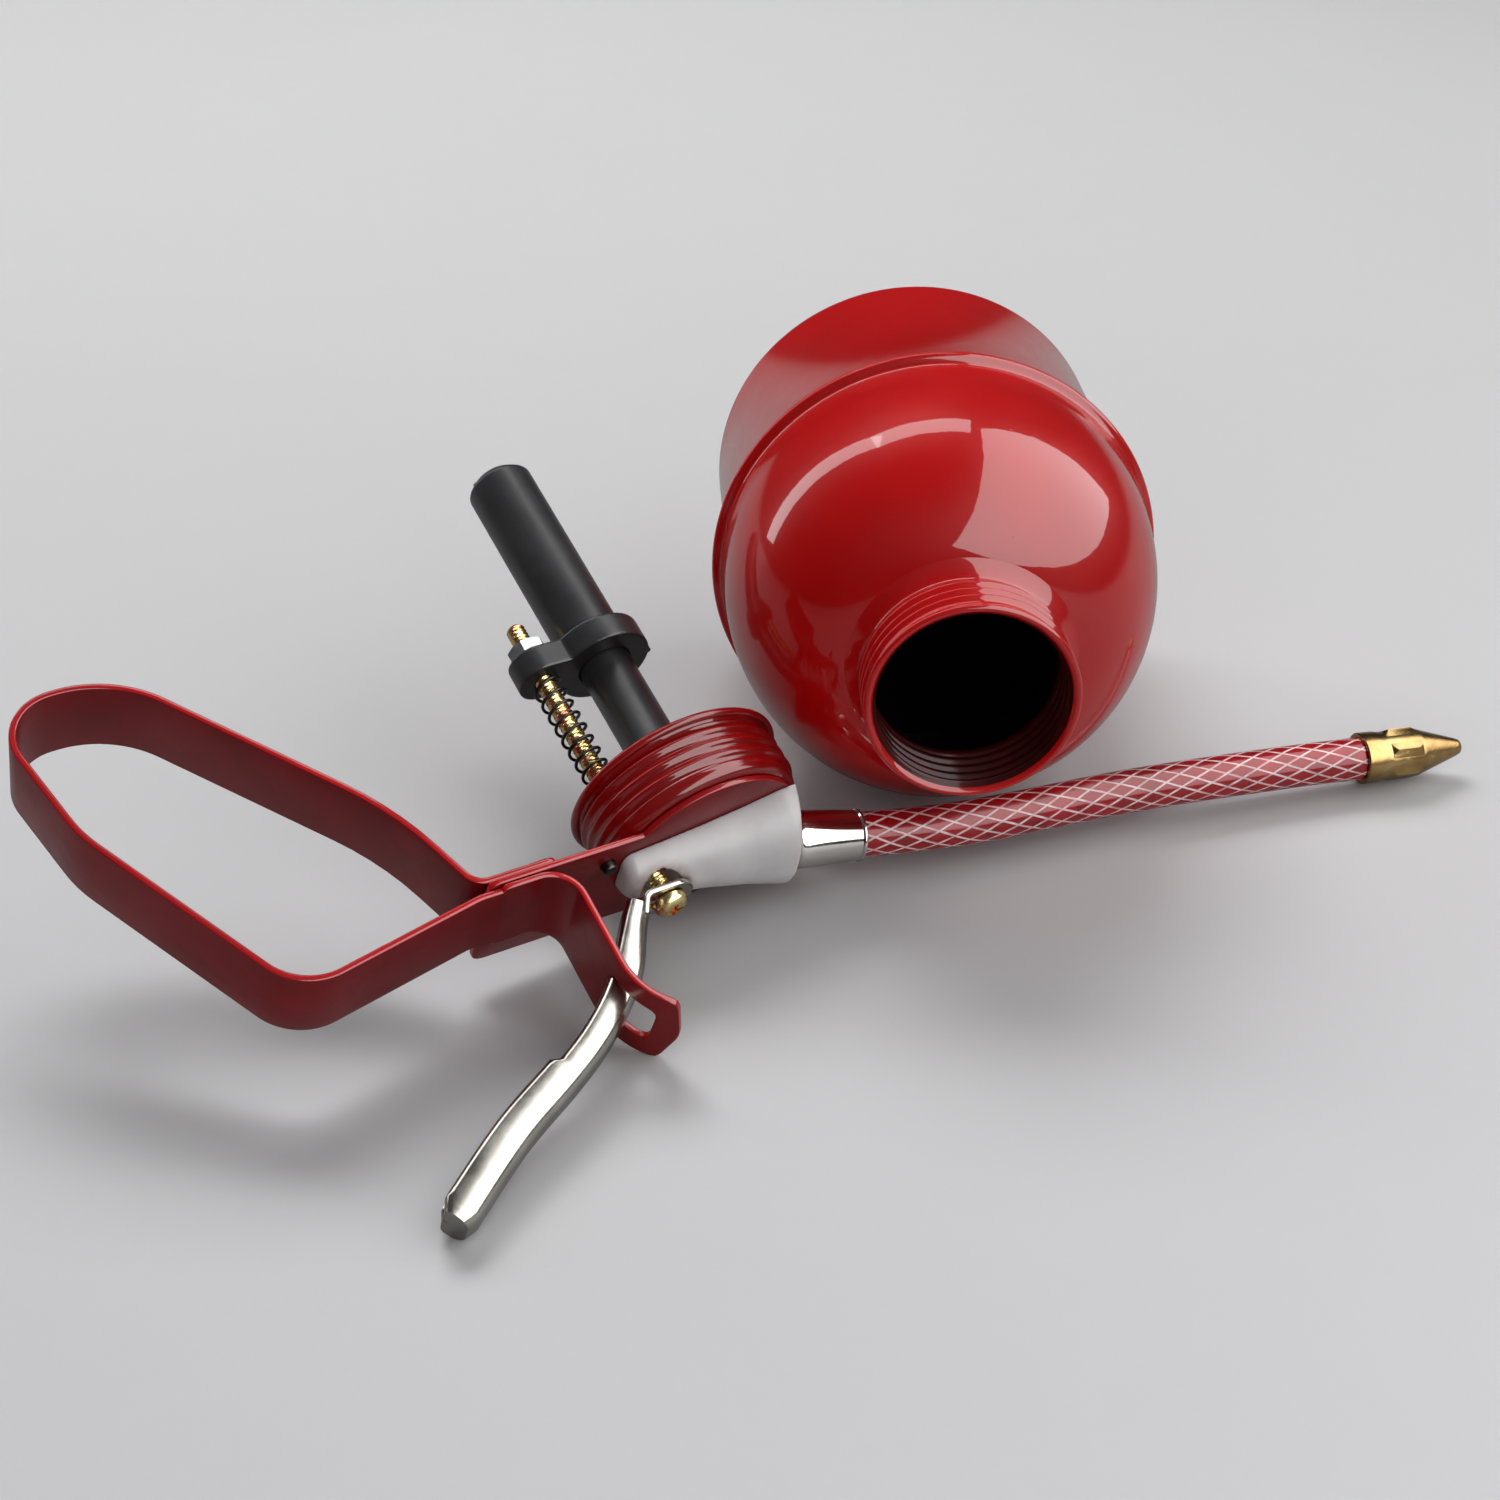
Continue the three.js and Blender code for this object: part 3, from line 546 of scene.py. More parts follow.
def brass_turned(middle, direction):
    """Brass off a lathe: fine rings round the axis, a little dulled by handling."""
    golds = ((0.3, (0.24, 0.145, 0.05)), (0.7, (0.40, 0.27, 0.115)))
    look = metal("brass_turned", golds, (0.18, 0.32), 1.6, 0.035)
    away = look.add("ShaderNodeVectorMath", {0: look.place, 1: tuple(middle)}, operation="SUBTRACT")
    keys = {0: away.outputs[0], 1: tuple(direction)}
    along = look.add("ShaderNodeVectorMath", keys, operation="DOT_PRODUCT").outputs["Value"]
    rings = look.math("SINE", look.math("MULTIPLY", along, 2 * math.pi / (0.35 * MM)))
    return look.bump(rings, 0.006).material


BRAID_ROUND = 10.0  # diamonds round the hose
BRAID_PITCH = 6.8  # length of one diamond
BRAID_THREAD = 0.075  # half the width of a thread, in diamonds


def hose_pvc():
    """Clear red plastic over a white braid of single threads wound both ways."""
    look = Look("hose_pvc", Coat_Weight=0.55, Coat_Roughness=0.07, Coat_IOR=1.45)
    look.surface.inputs["Specular IOR Level"].default_value = 0.2
    look.surface.inputs["Subsurface Weight"].default_value = 0.08
    look.surface.inputs["Subsurface Radius"].default_value = (1.0, 0.2, 0.2)
    look.surface.inputs["Subsurface Scale"].default_value = 0.0012
    uv = look.add("ShaderNodeUVMap", uv_map="surface").outputs[0]
    parts = look.add("ShaderNodeSeparateXYZ", {0: uv})
    around = look.math("MULTIPLY", parts.outputs[0], BRAID_ROUND)
    along = look.math("DIVIDE", parts.outputs[1], BRAID_PITCH * MM)
    threads = []
    for operation, size in (("ADD", 7), ("SUBTRACT", 9)):
        sway = look.level(look.noise(size, 2), -0.09, 0.09)
        turn = look.math("ADD", look.math(operation, around, along), sway)
        off = look.math("ABSOLUTE", look.math("SUBTRACT", look.math("FRACT", turn), 0.5))
        thread = look.level(off, 1.0, 0.0, BRAID_THREAD * 0.7, BRAID_THREAD * 1.25)
        fainter = look.level(look.noise(size * 0.4, 2), 0.45, 1.0, 0.35, 0.6)
        threads.append(look.math("MULTIPLY", thread, fainter))
    braid = look.math("MAXIMUM", *threads)
    clear = look.ramp(look.noise(5, 3), (0.3, (0.22, 0.002, 0.005)), (0.7, (0.34, 0.004, 0.009)))
    look.set(Base_Color=look.mix(look.math("MULTIPLY", braid, 0.85), clear, (0.92, 0.74, 0.74)))
    look.set(Roughness=look.level(look.noise(4, 3), 0.22, 0.36))
    look.bump(braid, 0.04)
    return look.bump(look.noise(2.5, 3), 0.015, coat=True).material


MIRRORED_DIMMING = 0.55  # share of its brightness that the floor loses in reflections


def bench_top():
    """Pale paper, its colour a little lighter towards the back as painted light; reflections see it dimmer
    than the camera does.
    """
    look = Look("bench_top")
    parts = look.add("ShaderNodeSeparateXYZ", {0: look.place})
    depth = look.math("ADD", parts.outputs[1], look.level(look.noise(90, 4), -0.06, 0.06))
    # The lighter far colour is painted light, brighter where the lamps fall at the back.
    near, middle, far = (0.46, 0.46, 0.472), (0.46, 0.46, 0.465), (0.54, 0.54, 0.53)
    paper_with_painted_light = look.ramp(look.level(depth, 0.0, 1.0, -0.3, 1.1), (0.0, near), (0.36, middle), (1.0, far))
    mirrored = look.add("ShaderNodeLightPath").outputs["Is Glossy Ray"]
    dimming = look.math("MULTIPLY", mirrored, MIRRORED_DIMMING)
    look.set(Base_Color=look.mix(dimming, paper_with_painted_light, (0.02, 0.02, 0.02)))
    look.set(Roughness=look.level(look.noise(12, 4), 0.55, 0.7))
    return look.bump(look.noise(1.2, 4), 0.02).material


RED = red_gloss("red_gloss", (0.46, 0.001, 0.002), (0.37, 0.001, 0.001))
# The cap's gloss red is a darker copy of the can's: painted shade, as the can and the hub shade the cap.
CAP_RED_PAINTED_SHADE = red_gloss("cap_red_painted_shade", (0.26, 0.001, 0.002), (0.17, 0.001, 0.001))
# A lighter gloss red for the narrow sides of the strap and plate: painted highlight along their edges.
EDGE_RED_PAINTED_HIGHLIGHT = red_gloss("edge_red_painted_highlight", (0.42, 0.003, 0.006), (0.26, 0.002, 0.004))
SATIN = red_satin()
# Near black: painted shade inside the can's shell and the cap.
INSIDE_PAINTED_SHADE = inside_painted_shade()
# Very dark red: painted shade down the inside of the neck.
NECK_INSIDE_PAINTED_SHADE = neck_inside_painted_shade()
BLACK = plastic_black()
RUBBER = rubber_black()
NYLON = nylon_white()
CHROME = chrome_plate()
NICKEL = nickel_plate()
YELLOW = zinc_yellow()
WHITE = grey_metal("zinc_white", (0.46, 0.48, 0.50), (0.72, 0.74, 0.76), (0.22, 0.4), 0.8, 0.02)
STEEL = grey_metal("spring_steel", (0.03, 0.028, 0.026), (0.08, 0.075, 0.07), (0.25, 0.45), 0.6, 0.01)
BALL = grey_metal("ball_steel", (0.62, 0.62, 0.64), (0.74, 0.74, 0.75), (0.08, 0.16), 1.0, 0.004)


# -------------------- reservoir
def reservoir_cup():
    edge, floor = CUP_RADIUS - 2.5, 1.5
    outside = [(0, floor), (33.8, floor), (34.6, floor - 0.15), (35.6, 0.25), (36.3, 0.0)]
    outside += arc(edge, 2.5, 2.5, -90, 0, 12)
    outside += [(CUP_RADIUS, 3), (CUP_RADIUS, CUP_HEIGHT - 0.8), (CUP_RADIUS + 0.3, CUP_HEIGHT - 0.2)]
    outside += [(CUP_RADIUS + 0.8, CUP_HEIGHT), (44.1, CUP_HEIGHT), (44.1, CUP_HEIGHT + SHEET)]
    inside = [(CUP_RADIUS - SHEET, CUP_HEIGHT + SHEET)]
    inside += arc(edge, 2.5, 2.5 - SHEET, 0, -90, 12)
    inside += [(36.3, SHEET), (34.5, floor + SHEET), (0, floor + SHEET)]
    bm = revolved(outside + inside, 192, inner_from=len(outside) - 1)
    mesh = mesh_from(bm, "can_cup", RESERVOIR)
    piece("can_cup", mesh, "reservoir", ["reservoir_cup"], [RED, INSIDE_PAINTED_SHADE])


def dome_radius(past):
    k = past / DOME_DEPTH
    return DOME_INNER + (SHOULDER_RADIUS - DOME_INNER) * (1 - k**DOME_POWER) ** (1 / DOME_POWER)


def reservoir_dome():
    """Seam folded round the cup's flange, domed top, threaded neck with a rolled lip."""
    fold = [(42.4, 46.75), (43.9, 46.7), *arc(44.25, 47.0, 0.3, -90, 60, 5), (43.75, 47.55)]
    fold += [*arc(44.05, 48.45, 0.92, -105, 75, 14), (43.75, 49.5), (43.35, 49.9), (43.1, 50.6)]
    swell = np.linspace(0, 1, 60)
    past = DOME_DEPTH * 0.975 * np.sin(swell * math.pi / 2)
    outer = [(dome_radius(p), SHOULDER + p) for p in past]
    foot = [(20.9, 91.5), (20.0, 92.2), (19.4, 92.9)]
    neck = [(NECK_ROOT, z) for z in np.linspace(NECK_FOOT - 0.1, MOUTH - 1.5, 56)]
    lip = arc(19.25, MOUTH - 0.72, 0.72, -70, 130, 12)
    collar = [(18.3, MOUTH - 0.6), (18.0, MOUTH - 1.4)]
    bore = [(MOUTH_BORE, z) for z in np.linspace(MOUTH - 1.8, NECK_FOOT - 0.6, 56)]
    under = [(dome_radius(p) - 0.6, SHOULDER + p - 0.6 * p / DOME_DEPTH) for p in past[::-1]]
    skirt = [(42.7, 49.2), (43.6, 48.7), (43.9, 48.2), (43.9, 47.4), (42.4, 47.4), (42.4, 46.75)]
    before = len(fold) + len(outer) + len(foot) + len(neck) + len(lip) + len(collar)

    def thread(angle, radius, z):
        turn = (z - NECK_FOOT) / NECK_PITCH - 0.6 - angle / (2 * math.pi)
        fade = smooth(z, NECK_FOOT, NECK_FOOT + 1.6) * (1 - smooth(z, MOUTH - 3.2, MOUTH - 1.9))
        wound = ridge(turn, 1.3) * (NECK_CREST - NECK_ROOT) * fade
        on_neck = np.abs(radius - NECK_ROOT) < 1e-6
        in_bore = np.abs(radius - MOUTH_BORE) < 1e-6
        return radius + wound * (on_neck | in_bore)

    profile = fold + outer + foot + neck + lip + collar + bore + under + skirt
    sides = 192
    bm = revolved(profile, sides, shift=thread, inner_from=before + len(bore))
    bm.faces.ensure_lookup_table()
    for face in bm.faces[(before - 2) * sides : (before + len(bore)) * sides]:
        face.material_index = 2  # the neck's inside
    mesh = mesh_from(bm, "can_dome", RESERVOIR)
    piece("can_dome", mesh, "reservoir", ["reservoir_dome"], [RED, INSIDE_PAINTED_SHADE, NECK_INSIDE_PAINTED_SHADE])


# -------------------- cap and base plate
def screw_cap():
    hole = 6.3
    outside = [(hole, 0), (16.5, 0), *arc(CAP_ROOT - 2, -2, 2, 90, 0, 10)]
    rows = np.linspace(-2.3, -CAP_DEPTH + 1.9, 56)
    outside += [(CAP_ROOT, z) for z in rows]
    roll = arc(CAP_RIM - 0.85, -CAP_DEPTH + 0.85, 0.85, 130, -130, 20)
    inner = CAP_ROOT - CAP_WALL
    inside = [(inner, z) for z in rows[::-1]]
    inside += [*arc(CAP_ROOT - 2, -2, 2 - CAP_WALL, 0, 90, 8), (16.5, -CAP_WALL), (hole, -CAP_WALL)]
    start = len(outside) + len(roll)

    def thread(angle, radius, z):
        turn = (z + 3.3) / CAP_PITCH + angle / (2 * math.pi) + 0.2
        fade = smooth(-z, 2.2, 3.2) * (1 - smooth(-z, 11.2, 12.2))
        on_wall = (np.abs(radius - CAP_ROOT) < 1e-6) | (np.abs(radius - inner) < 1e-6)
        return radius + ridge(turn, 1.2) * (CAP_CREST - CAP_ROOT) * fade * on_wall

    bm = revolved(outside + roll + inside + [(hole, 0)], 160, shift=thread, inner_from=start + 2)
    cap = combined(loose(bm), cuts=[bar(SCREW_RADIUS + 0.4, -3, 3, SCREW_X)])
    mesh = taken(cap)
    mesh.transform(HEAD)
    # Darker red outside and near black inside: both painted shade.
    piece("cap_shell", mesh, "pump_head", ["screw_cap"], [CAP_RED_PAINTED_SHADE, INSIDE_PAINTED_SHADE])


def cap_gasket():
    profile = [(16.8, -0.5), (18.2, -0.5), (19.0, -1.2), (19.2, -1.7), (19.1, -2.1), (17.0, -2.1)]
    profile += [(16.8, -1.9), (16.8, -0.5)]
    mesh = mesh_from(revolved(profile, 96), "gasket", HEAD)
    piece("gasket", mesh, "pump_head", ["cap_gasket"], [RUBBER])


def rounded(corners, steps=7):
    """A closed outline through (x, y, corner radius)."""
    points = []
    for i, (x, y, radius) in enumerate(corners):
        here = Vector((x, y))
        back = (Vector(corners[i - 1][:2]) - here).normalized()
        ahead = (Vector(corners[(i + 1) % len(corners)][:2]) - here).normalized()
        if not radius:
            points.append((x, y))
            continue
        half = back.angle(ahead) / 2
        reach = radius / math.tan(half)
        for k in range(steps + 1):
            t = k / steps
            spot = (1 - t) ** 2 * (here + back * reach) + 2 * t * (1 - t) * here
            points.append(tuple(spot + t * t * (here + ahead * reach)))
    return points


def base_plate():
    radius, front, rear, left, right = 18.5, 15.2, -47.0, 9.5, -16.4
    nose = math.degrees(math.acos(front / radius))
    upper = 180 - math.degrees(math.asin(left / radius))
    lower = 180 + math.degrees(math.asin(-right / radius))
    outline = arc(0, 0, radius, nose, upper, 40)
    outline += rounded([(-20, left, 0), (rear, left, 2.2), (rear, right, 3.0), (-12, right, 0)])
    outline += arc(0, 0, radius, lower, 360 - nose, 26)
    holes = [circle(0, 0, 6.3), circle(SCREW_X, 0, SCREW_RADIUS + 0.4, 24), circle(-22.4, 3.8, 1.5, 16)]
    bm = flat_sheet(outline, holes, PLATE_THICK, 0.3, rim=1)
    mesh = mesh_from(bm, "tab_plate", HEAD @ Matrix.Translation((0, 0, PLATE_LOW)))
    # The plate's narrow sides take the lighter red of painted highlight.
    piece("tab_plate", mesh, "pump_head", ["base_plate"], [SATIN, EDGE_RED_PAINTED_HIGHLIGHT])


# -------------------- handle
def bend_onto(bm, line):
    """Moves a flat sheet (x along, y across, z through) onto a line in the x-z plane."""
    line = np.array(line)
    steps = lengths(line)
    runs = np.diff(line, axis=0)
    runs /= np.linalg.norm(runs, axis=1)[:, None]
    ahead = np.vstack([runs[:1], (runs[:-1] + runs[1:]) / 2, runs[-1:]])
    ahead /= np.linalg.norm(ahead, axis=1)[:, None]
    for vert in bm.verts:
        along, across, through = vert.co
        x, z, run_x, run_z = (np.interp(along, steps, column) for column in (*line.T, *ahead.T))
        vert.co = (x - run_z * through, across, z + run_x * through)


def bent_sheet(outline, holes, line, thickness, edge, rim=0):
    steps = lengths(np.array(line))
    bm = flat_sheet(outline, holes, thickness, edge, cuts=steps[1:-1], rim=rim)
    bmesh.ops.translate(bm, verts=bm.verts[:], vec=(0, 0, -thickness / 2))
    bend_onto(bm, line)
    return bm


def handle_strap():
    """Hand loop and slotted tongue, one strip lapped back on itself over the plate's tab."""
    on_top = PLATE_LOW + PLATE_THICK + 0.1 + STRAP_THICK / 2
    under = -STRAP_THICK / 2 - 0.05
    loop = [(-32.8, under, 0), (-48.6, under, 4), (-56, -20, 60), (-92, -63.6, 21)]
    loop += [(-114.5, -62, 9.5), (-108, -33, 25), (-84.7, 8.6, 11), (-49, on_top, 12), (-43, on_top, 0)]
    loop = spaced(bent(loop, 4), 2.0)
    half, far = LOOP_WIDTH / 2, lengths(loop)[-1]
    ends = [(0, -half, 1.5), (far, -half, 1.5), (far, half, 1.5), (0, half, 1.5)]
    hand = bent_sheet(rounded(ends), [], loop, STRAP_THICK, 0.3, rim=1)

    on_top += 0.04  # the tongue is the upper layer where it laps the loop's end
    tongue = [(-45, on_top, 0), (-31.7, on_top, 6), (-31.7, 28.9, 14), (-24.2, 35.8, 0)]
    tongue = spaced(bent(tongue, 4), 1.5)
    half, steps = TONGUE_WIDTH / 2, lengths(tongue)
    far = steps[-1]
    shoulder = far - 2.4
    ends = [(0, -half, 1.5), (shoulder, -half, 2.5), (far, 0, 9), (shoulder, half, 2.5), (0, half, 1.5)]
    outline = rounded(ends)
    rising = np.maximum.accumulate(tongue[:, 1])
    low, high = np.interp((22.2, 32.2), rising + np.arange(len(rising)) * 1e-9, steps)
    slot = rounded([(low, -4.6, 2.2), (high, -4.6, 2.2), (high, 4.6, 2.2), (low, 4.6, 2.2)])
    upright = bent_sheet(outline, [slot], tongue, STRAP_THICK, 0.3, rim=1)
    mesh = mesh_from(together(hand, upright), "hand_strap", HEAD)
    # The strip's narrow sides take the lighter red of painted highlight.
    piece("hand_strap", mesh, "pump_head", ["handle_strap"], [SATIN, EDGE_RED_PAINTED_HIGHLIGHT])


# -------------------- nozzle hub
def onto_outlet():
    """Lays something made along +Z on the outlet's axis, z = 0 at the hub's front."""
    return Matrix.Translation((OUTLET_X, 0, OUTLET_Z)) @ Matrix.Rotation(math.pi / 2 - OUTLET_TILT, 4, "Y")


def nozzle_hub():
    floor, rear = 1.5, -19.5
    outline = [(0, rear), *arc(3.2, rear + 2.6, 2.6, -90, -25, 6), (6.5, -11.6), (7.9, -3.3)]
    outline += [(9.7, 5), (11.8, 12.5), (12.3, 18), (0, 18)]
    cone = loose(revolved(outline, 96))
    cone.data.transform(Matrix.Translation((0, 0, floor)) @ Matrix.Rotation(math.pi / 2, 4, "Y"))
    ahead = block((50, 50, 20), (0, 0, 10))
    ahead.data.transform(onto_outlet())
    below = block((60, 60, 30), (0, 0, floor - 15))
    hub = combined(cone, cuts=[ahead, below])
    spigot = bar(6.0, -7, floor + 1)
    barb_bore = bar(3.1, -6, 1)
    barb_bore.data.transform(onto_outlet())
    cuts = [bar(3.1, -8, 4.4), barb_bore, bar(SCREW_RADIUS + 0.4, -5, 20, SCREW_X)]
    cuts += [bar(HEAD_RADIUS + 0.9, 4.2, 20, SCREW_X), bar(5.5, 8, 20, SCREW_X)]
    hub = moulded(combined(hub, adds=[spigot], cuts=cuts), 0.26, 5)
    mesh = taken(hub)
    mesh.transform(HEAD)
    piece("hub", mesh, "pump_head", ["nozzle_hub"], [NYLON])


def hub_pin():
    top = PLATE_LOW + PLATE_THICK + 1.6
    profile = [(0, -1.2), (1.2, -1.2), (1.4, -1.0), (1.4, top - 0.5)]
    profile += [*arc(0.9, top - 0.5, 0.5, 0, 90, 5), (0, top)]
    bm = revolved(profile, 32)
    bmesh.ops.translate(bm, verts=bm.verts[:], vec=(-22.4, 3.8, 0))
    piece("locating_pin", mesh_from(bm, "pin", HEAD), "pump_head", ["hub_pin"], [STEEL])


# -------------------- pump
def plunger_tube():
    end, socket = -73.5, 8.0
    outside = [(6.3, -1.6), (socket - 0.3, -1.6), (socket, -1.9), (socket, -8.3), (socket - 1, -9.5)]
    outside += [(TUBE_RADIUS + 0.4, -11.2), (TUBE_RADIUS, -11.9), (TUBE_RADIUS, end + 5), (4, end + 5)]
    outside += [(4, end + 1), (5.15, end + 1), (5.15, end), (1.6, end), (1.6, -9.2), (3, -7.2)]
    outside += [(6.3, -7.2), (6.3, -1.6)]
    mesh = mesh_from(revolved(outside, 64), "plunger", HEAD)
    piece("plunger", mesh, "pump_head", ["plunger_tube"], [BLACK])


def pump_cylinder():
    low = ARM_TOP - ARM_THICK
    radius, end = CYLINDER_RADIUS, CYLINDER_END
    outline = [(0, end), (radius - 1.7, end), (radius, end + 1.7), (radius, ARM_TOP), (0, ARM_TOP)]
    barrel = loose(revolved(outline, 96))
    collar = bar(9.7, low, ARM_TOP, sides=96)
    arm = block((-SCREW_X, 10.6, ARM_THICK), (SCREW_X / 2, 0, ARM_TOP - ARM_THICK / 2))
    flash = block((3.0, 1.1, ARM_THICK - 1.2), (9.2, 0, ARM_TOP - ARM_THICK / 2))
    boss = bar(5.3, low, ARM_TOP, SCREW_X)
    gate = bar(0.7, end - 0.9, end + 1, -4.4, 0, 16)
    hollow = bar(5.7, -82, ARM_TOP - 4)
    guide = bar(TUBE_RADIUS + 0.15, ARM_TOP - 5, ARM_TOP + 1)
    pocket = bar(3.2, end - 1, -84)
    hole = bar(SCREW_RADIUS + 0.15, low - 1, ARM_TOP + 1, SCREW_X)
    body = combined(barrel, adds=[collar, arm, boss, flash, gate], cuts=[hollow, guide, pocket, hole])
    mesh = taken(moulded(body, 0.28, 4))
    mesh.transform(HEAD)
    piece("cylinder_body", mesh, "pump_slide", ["pump_cylinder"], [BLACK])


def inlet_plug():
    end, top = CYLINDER_END, -88.8
    profile = [(1, end - 1.3), (2.0, end - 1.3), (2.3, end - 1.0), (3.05, end + 0.1), (3.05, top)]
    profile += [(1.9, top), (1, top - 1.2), (1, end - 1.3)]
    mesh = mesh_from(revolved(profile, 48), "foot_plug", HEAD)
    piece("foot_plug", mesh, "pump_slide", ["inlet_plug"], [BLACK])


def pull_screw():
    """Pan-head screw, threaded from below the cap, with a cross recess."""
    top = SCREW_UNDER + HEAD_HEIGHT
    shank = [(0, SCREW_END), (1.45, SCREW_END), (1.9, SCREW_END + 0.55)]
    shank += [(SCREW_RADIUS, z) for z in np.arange(SCREW_END + 0.7, SCREW_UNDER - 0.2, 0.14)]
    head = [(SCREW_RADIUS, SCREW_UNDER), (3.1, SCREW_UNDER), (HEAD_RADIUS, SCREW_UNDER + 0.2)]
    head += [(HEAD_RADIUS, SCREW_UNDER + 0.9), (3.1, top - 0.9), (2.6, top - 0.4), (1.7, top - 0.08)]
    head += [(0, top)]

    def thread(angle, radius, z):
        turn = z / 0.8 - angle / (2 * math.pi)
        on_shank = (np.abs(radius - SCREW_RADIUS) < 1e-6) & (z < SCREW_UNDER - 1)
        return radius - 0.3 * (1 - ridge(turn)) * on_shank

    screw = loose(revolved(shank + head, 32, shift=thread))
    recess = [block((long, 4.5 - long, 2.6), (0, 0, top)) for long in (3.7, 0.8)]
    mesh = taken(combined(screw, cuts=recess))
    mesh.transform(HEAD @ Matrix.Translation((SCREW_X, 0, 0)))
    piece("pull_rod", mesh, "pump_slide", ["pull_screw"], [YELLOW])


def hexagon(across_flats, low, high, chamfer=0.5):
    """A hexagonal bar with its corners turned off at both ends."""
    point = across_flats / math.sqrt(3)
    bm = revolved([(0, low), (point, low), (point, high), (0, high)], 6)
    nut = loose(bm)
    flat = across_flats / 2
    turned = [(0, low), (flat - 0.1, low), (point + 0.1, low + chamfer), (point + 0.1, high - chamfer)]
    turned = loose(revolved(turned + [(flat - 0.1, high), (0, high)], 64))
    finished(nut, ("BOOLEAN", {"object": turned, "operation": "INTERSECT", "solver": "EXACT"}))
    bpy.data.objects.remove(turned)
    return nut


def pull_nut():
    top = ARM_TOP - ARM_THICK - 0.1
    nut = combined(hexagon(7.0, top - 3.2, top), cuts=[bar(SCREW_RADIUS + 0.08, top - 6, top + 3)])
    mesh = taken(nut)
    mesh.transform(HEAD @ Matrix.Translation((SCREW_X, 0, 0)))
    piece("lock_nut", mesh, "pump_slide", ["pull_nut"], [WHITE])


def return_spring():
    """Thin wire coil, wound evenly from the pump's arm up to the cap, with a mesh of its own."""
    wire, turns = 0.33, 14
    low, high = ARM_TOP + wire + 0.15, -CAP_WALL - wire - 0.15
    t = np.linspace(0, 1, turns * 28)
    angle = 2 * math.pi * turns * t
    height = low + (high - low) * t
    points = np.stack([2.82 * np.cos(angle), 2.82 * np.sin(angle), height], axis=1)
    bm = grid_bmesh(swept(points, wire, 10))
    mesh = mesh_from(bm, "spring", HEAD @ Matrix.Translation((SCREW_X, 0, 0)))
    spring = piece("coil_spring", mesh, "pump_head", ["return_spring"], [STEEL])
    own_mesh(spring)


# -------------------- lever
def curve_through(points, steps=24):
    """A smooth curve through points, evenly eased between uneven gaps."""
    points = [Vector(point) for point in points]
    padded = [2 * points[0] - points[1], *points, 2 * points[-1] - points[-2]]
    line = [points[0]]
    for before, start, end, after in zip(padded, padded[1:], padded[2:], padded[3:]):
        spans = ((before, start), (start, end), (end, after))
        gap_a, gap_b, gap_c = ((b - a).length ** 0.5 for a, b in spans)
        pull = (start - before) / gap_a - (end - before) / (gap_a + gap_b) + (end - start) / gap_b
        push = (end - start) / gap_b - (after - start) / (gap_b + gap_c) + (after - end) / gap_c
        pull, push = pull * gap_b, push * gap_b
        for k in range(1, steps + 1):
            t = k / steps
            bend = (2 * t**3 - 3 * t**2 + 1) * start + (3 * t**2 - 2 * t**3) * end
            line.append(bend + (t**3 - 2 * t**2 + t) * pull + (t**3 - t**2) * push)
    return np.array(line)


def corner(n, y, radius, start):
    """Points of a quarter turn about (n, y) in the section, angles from +n towards +y."""
    turns = np.radians(start + np.linspace(0, 90, 7))
    return [(n + radius * math.cos(angle), y + radius * math.sin(angle)) for angle in turns]


def folded_section(web, flange, half, sheet, opening, hollow):
    """A folded channel across the lever: n from -web to flange, open at +n, hollow from 0 to 1."""
    outer_low, outer_high, lip = 2.6, 1.2, flange - 1.0
    slit = opening * (0.04 + 0.96 * hollow)
    inside = slit + 0.03 + (half - sheet - slit - 0.03) * hollow
    floor = lip - 0.04 - (lip - 0.04 - sheet + web) * hollow
    inner = min(0.45 * (inside - slit), 0.45 * (lip - floor), 1.4)
    ring = [(flange, slit), *corner(flange - outer_high, half - outer_high, outer_high, 0)]
    ring += corner(outer_low - web, half - outer_low, outer_low, 90)
    ring += corner(outer_low - web, outer_low - half, outer_low, 180)
    ring += corner(flange - outer_high, outer_high - half, outer_high, 270)
    ring += [(flange, -slit), (lip, -slit)]
    ring += corner(lip - inner, inner - inside, inner, 270)[::-1]
    ring += corner(floor + inner, inner - inside, inner, 180)[::-1]
    ring += corner(floor + inner, inside - inner, inner, 90)[::-1]
    ring += corner(lip - inner, inside - inner, inner, 0)[::-1]
    return ring + [(lip, slit)]


def channel_along(line, webs, flanges, hollows, half, sheet, opening):
    """The folded channel swept along a line in x-z, as a closed mesh."""
    ahead = np.gradient(line, axis=0)
    ahead /= np.linalg.norm(ahead, axis=1)[:, None]
    grid = []
    for (x, z), (run_x, run_z), web, flange, hollow in zip(line, ahead, webs, flanges, hollows):
        section = folded_section(web, flange, half, sheet, opening, hollow)
        grid.append([(x - run_z * n, y, z + run_x * n) for n, y in section])
    return loose(grid_bmesh(np.array(grid)))


LEVER_WIDTH, LEVER_SHEET, LEVER_OPENING = 8.0, 1.2, 1.7
LEVER_LINE = [(-19.2, 11.2), (-26.5, 20.3), (-33, 26.6), (-40, 32), (-47, 36.2), (-60, 43.1), (-76, 53.9)]
EYE_HEIGHT, EYE_RADIUS, EYE_SHEET, EYE_HOLE = 9.3, 4.2, 1.3, 2.3
FULCRUM_RADIUS = 0.95


def lever_channel():
    """The lever's folded channel; t runs from 0 at the eye to 1 at the grip's end."""
    line = curve_through(LEVER_LINE, 16)
    t = lengths(line) / lengths(line)[-1]
    web = 1.1 + 1.8 * smooth(t, 0.02, 0.24) - 0.9 * smooth(t, 0.97, 1)
    step = 1.3 * smooth(t, 0.515, 0.54)
    flange = 3.6 - 0.9 * smooth(t, 0.05, 0.35) + step - 1.4 * smooth(t, 0.96, 1)
    hollow = smooth(t, 0.08, 0.16) - smooth(t, 0.975, 0.99)
    return channel_along(line, web, flange, hollow, LEVER_WIDTH / 2, LEVER_SHEET, LEVER_OPENING)


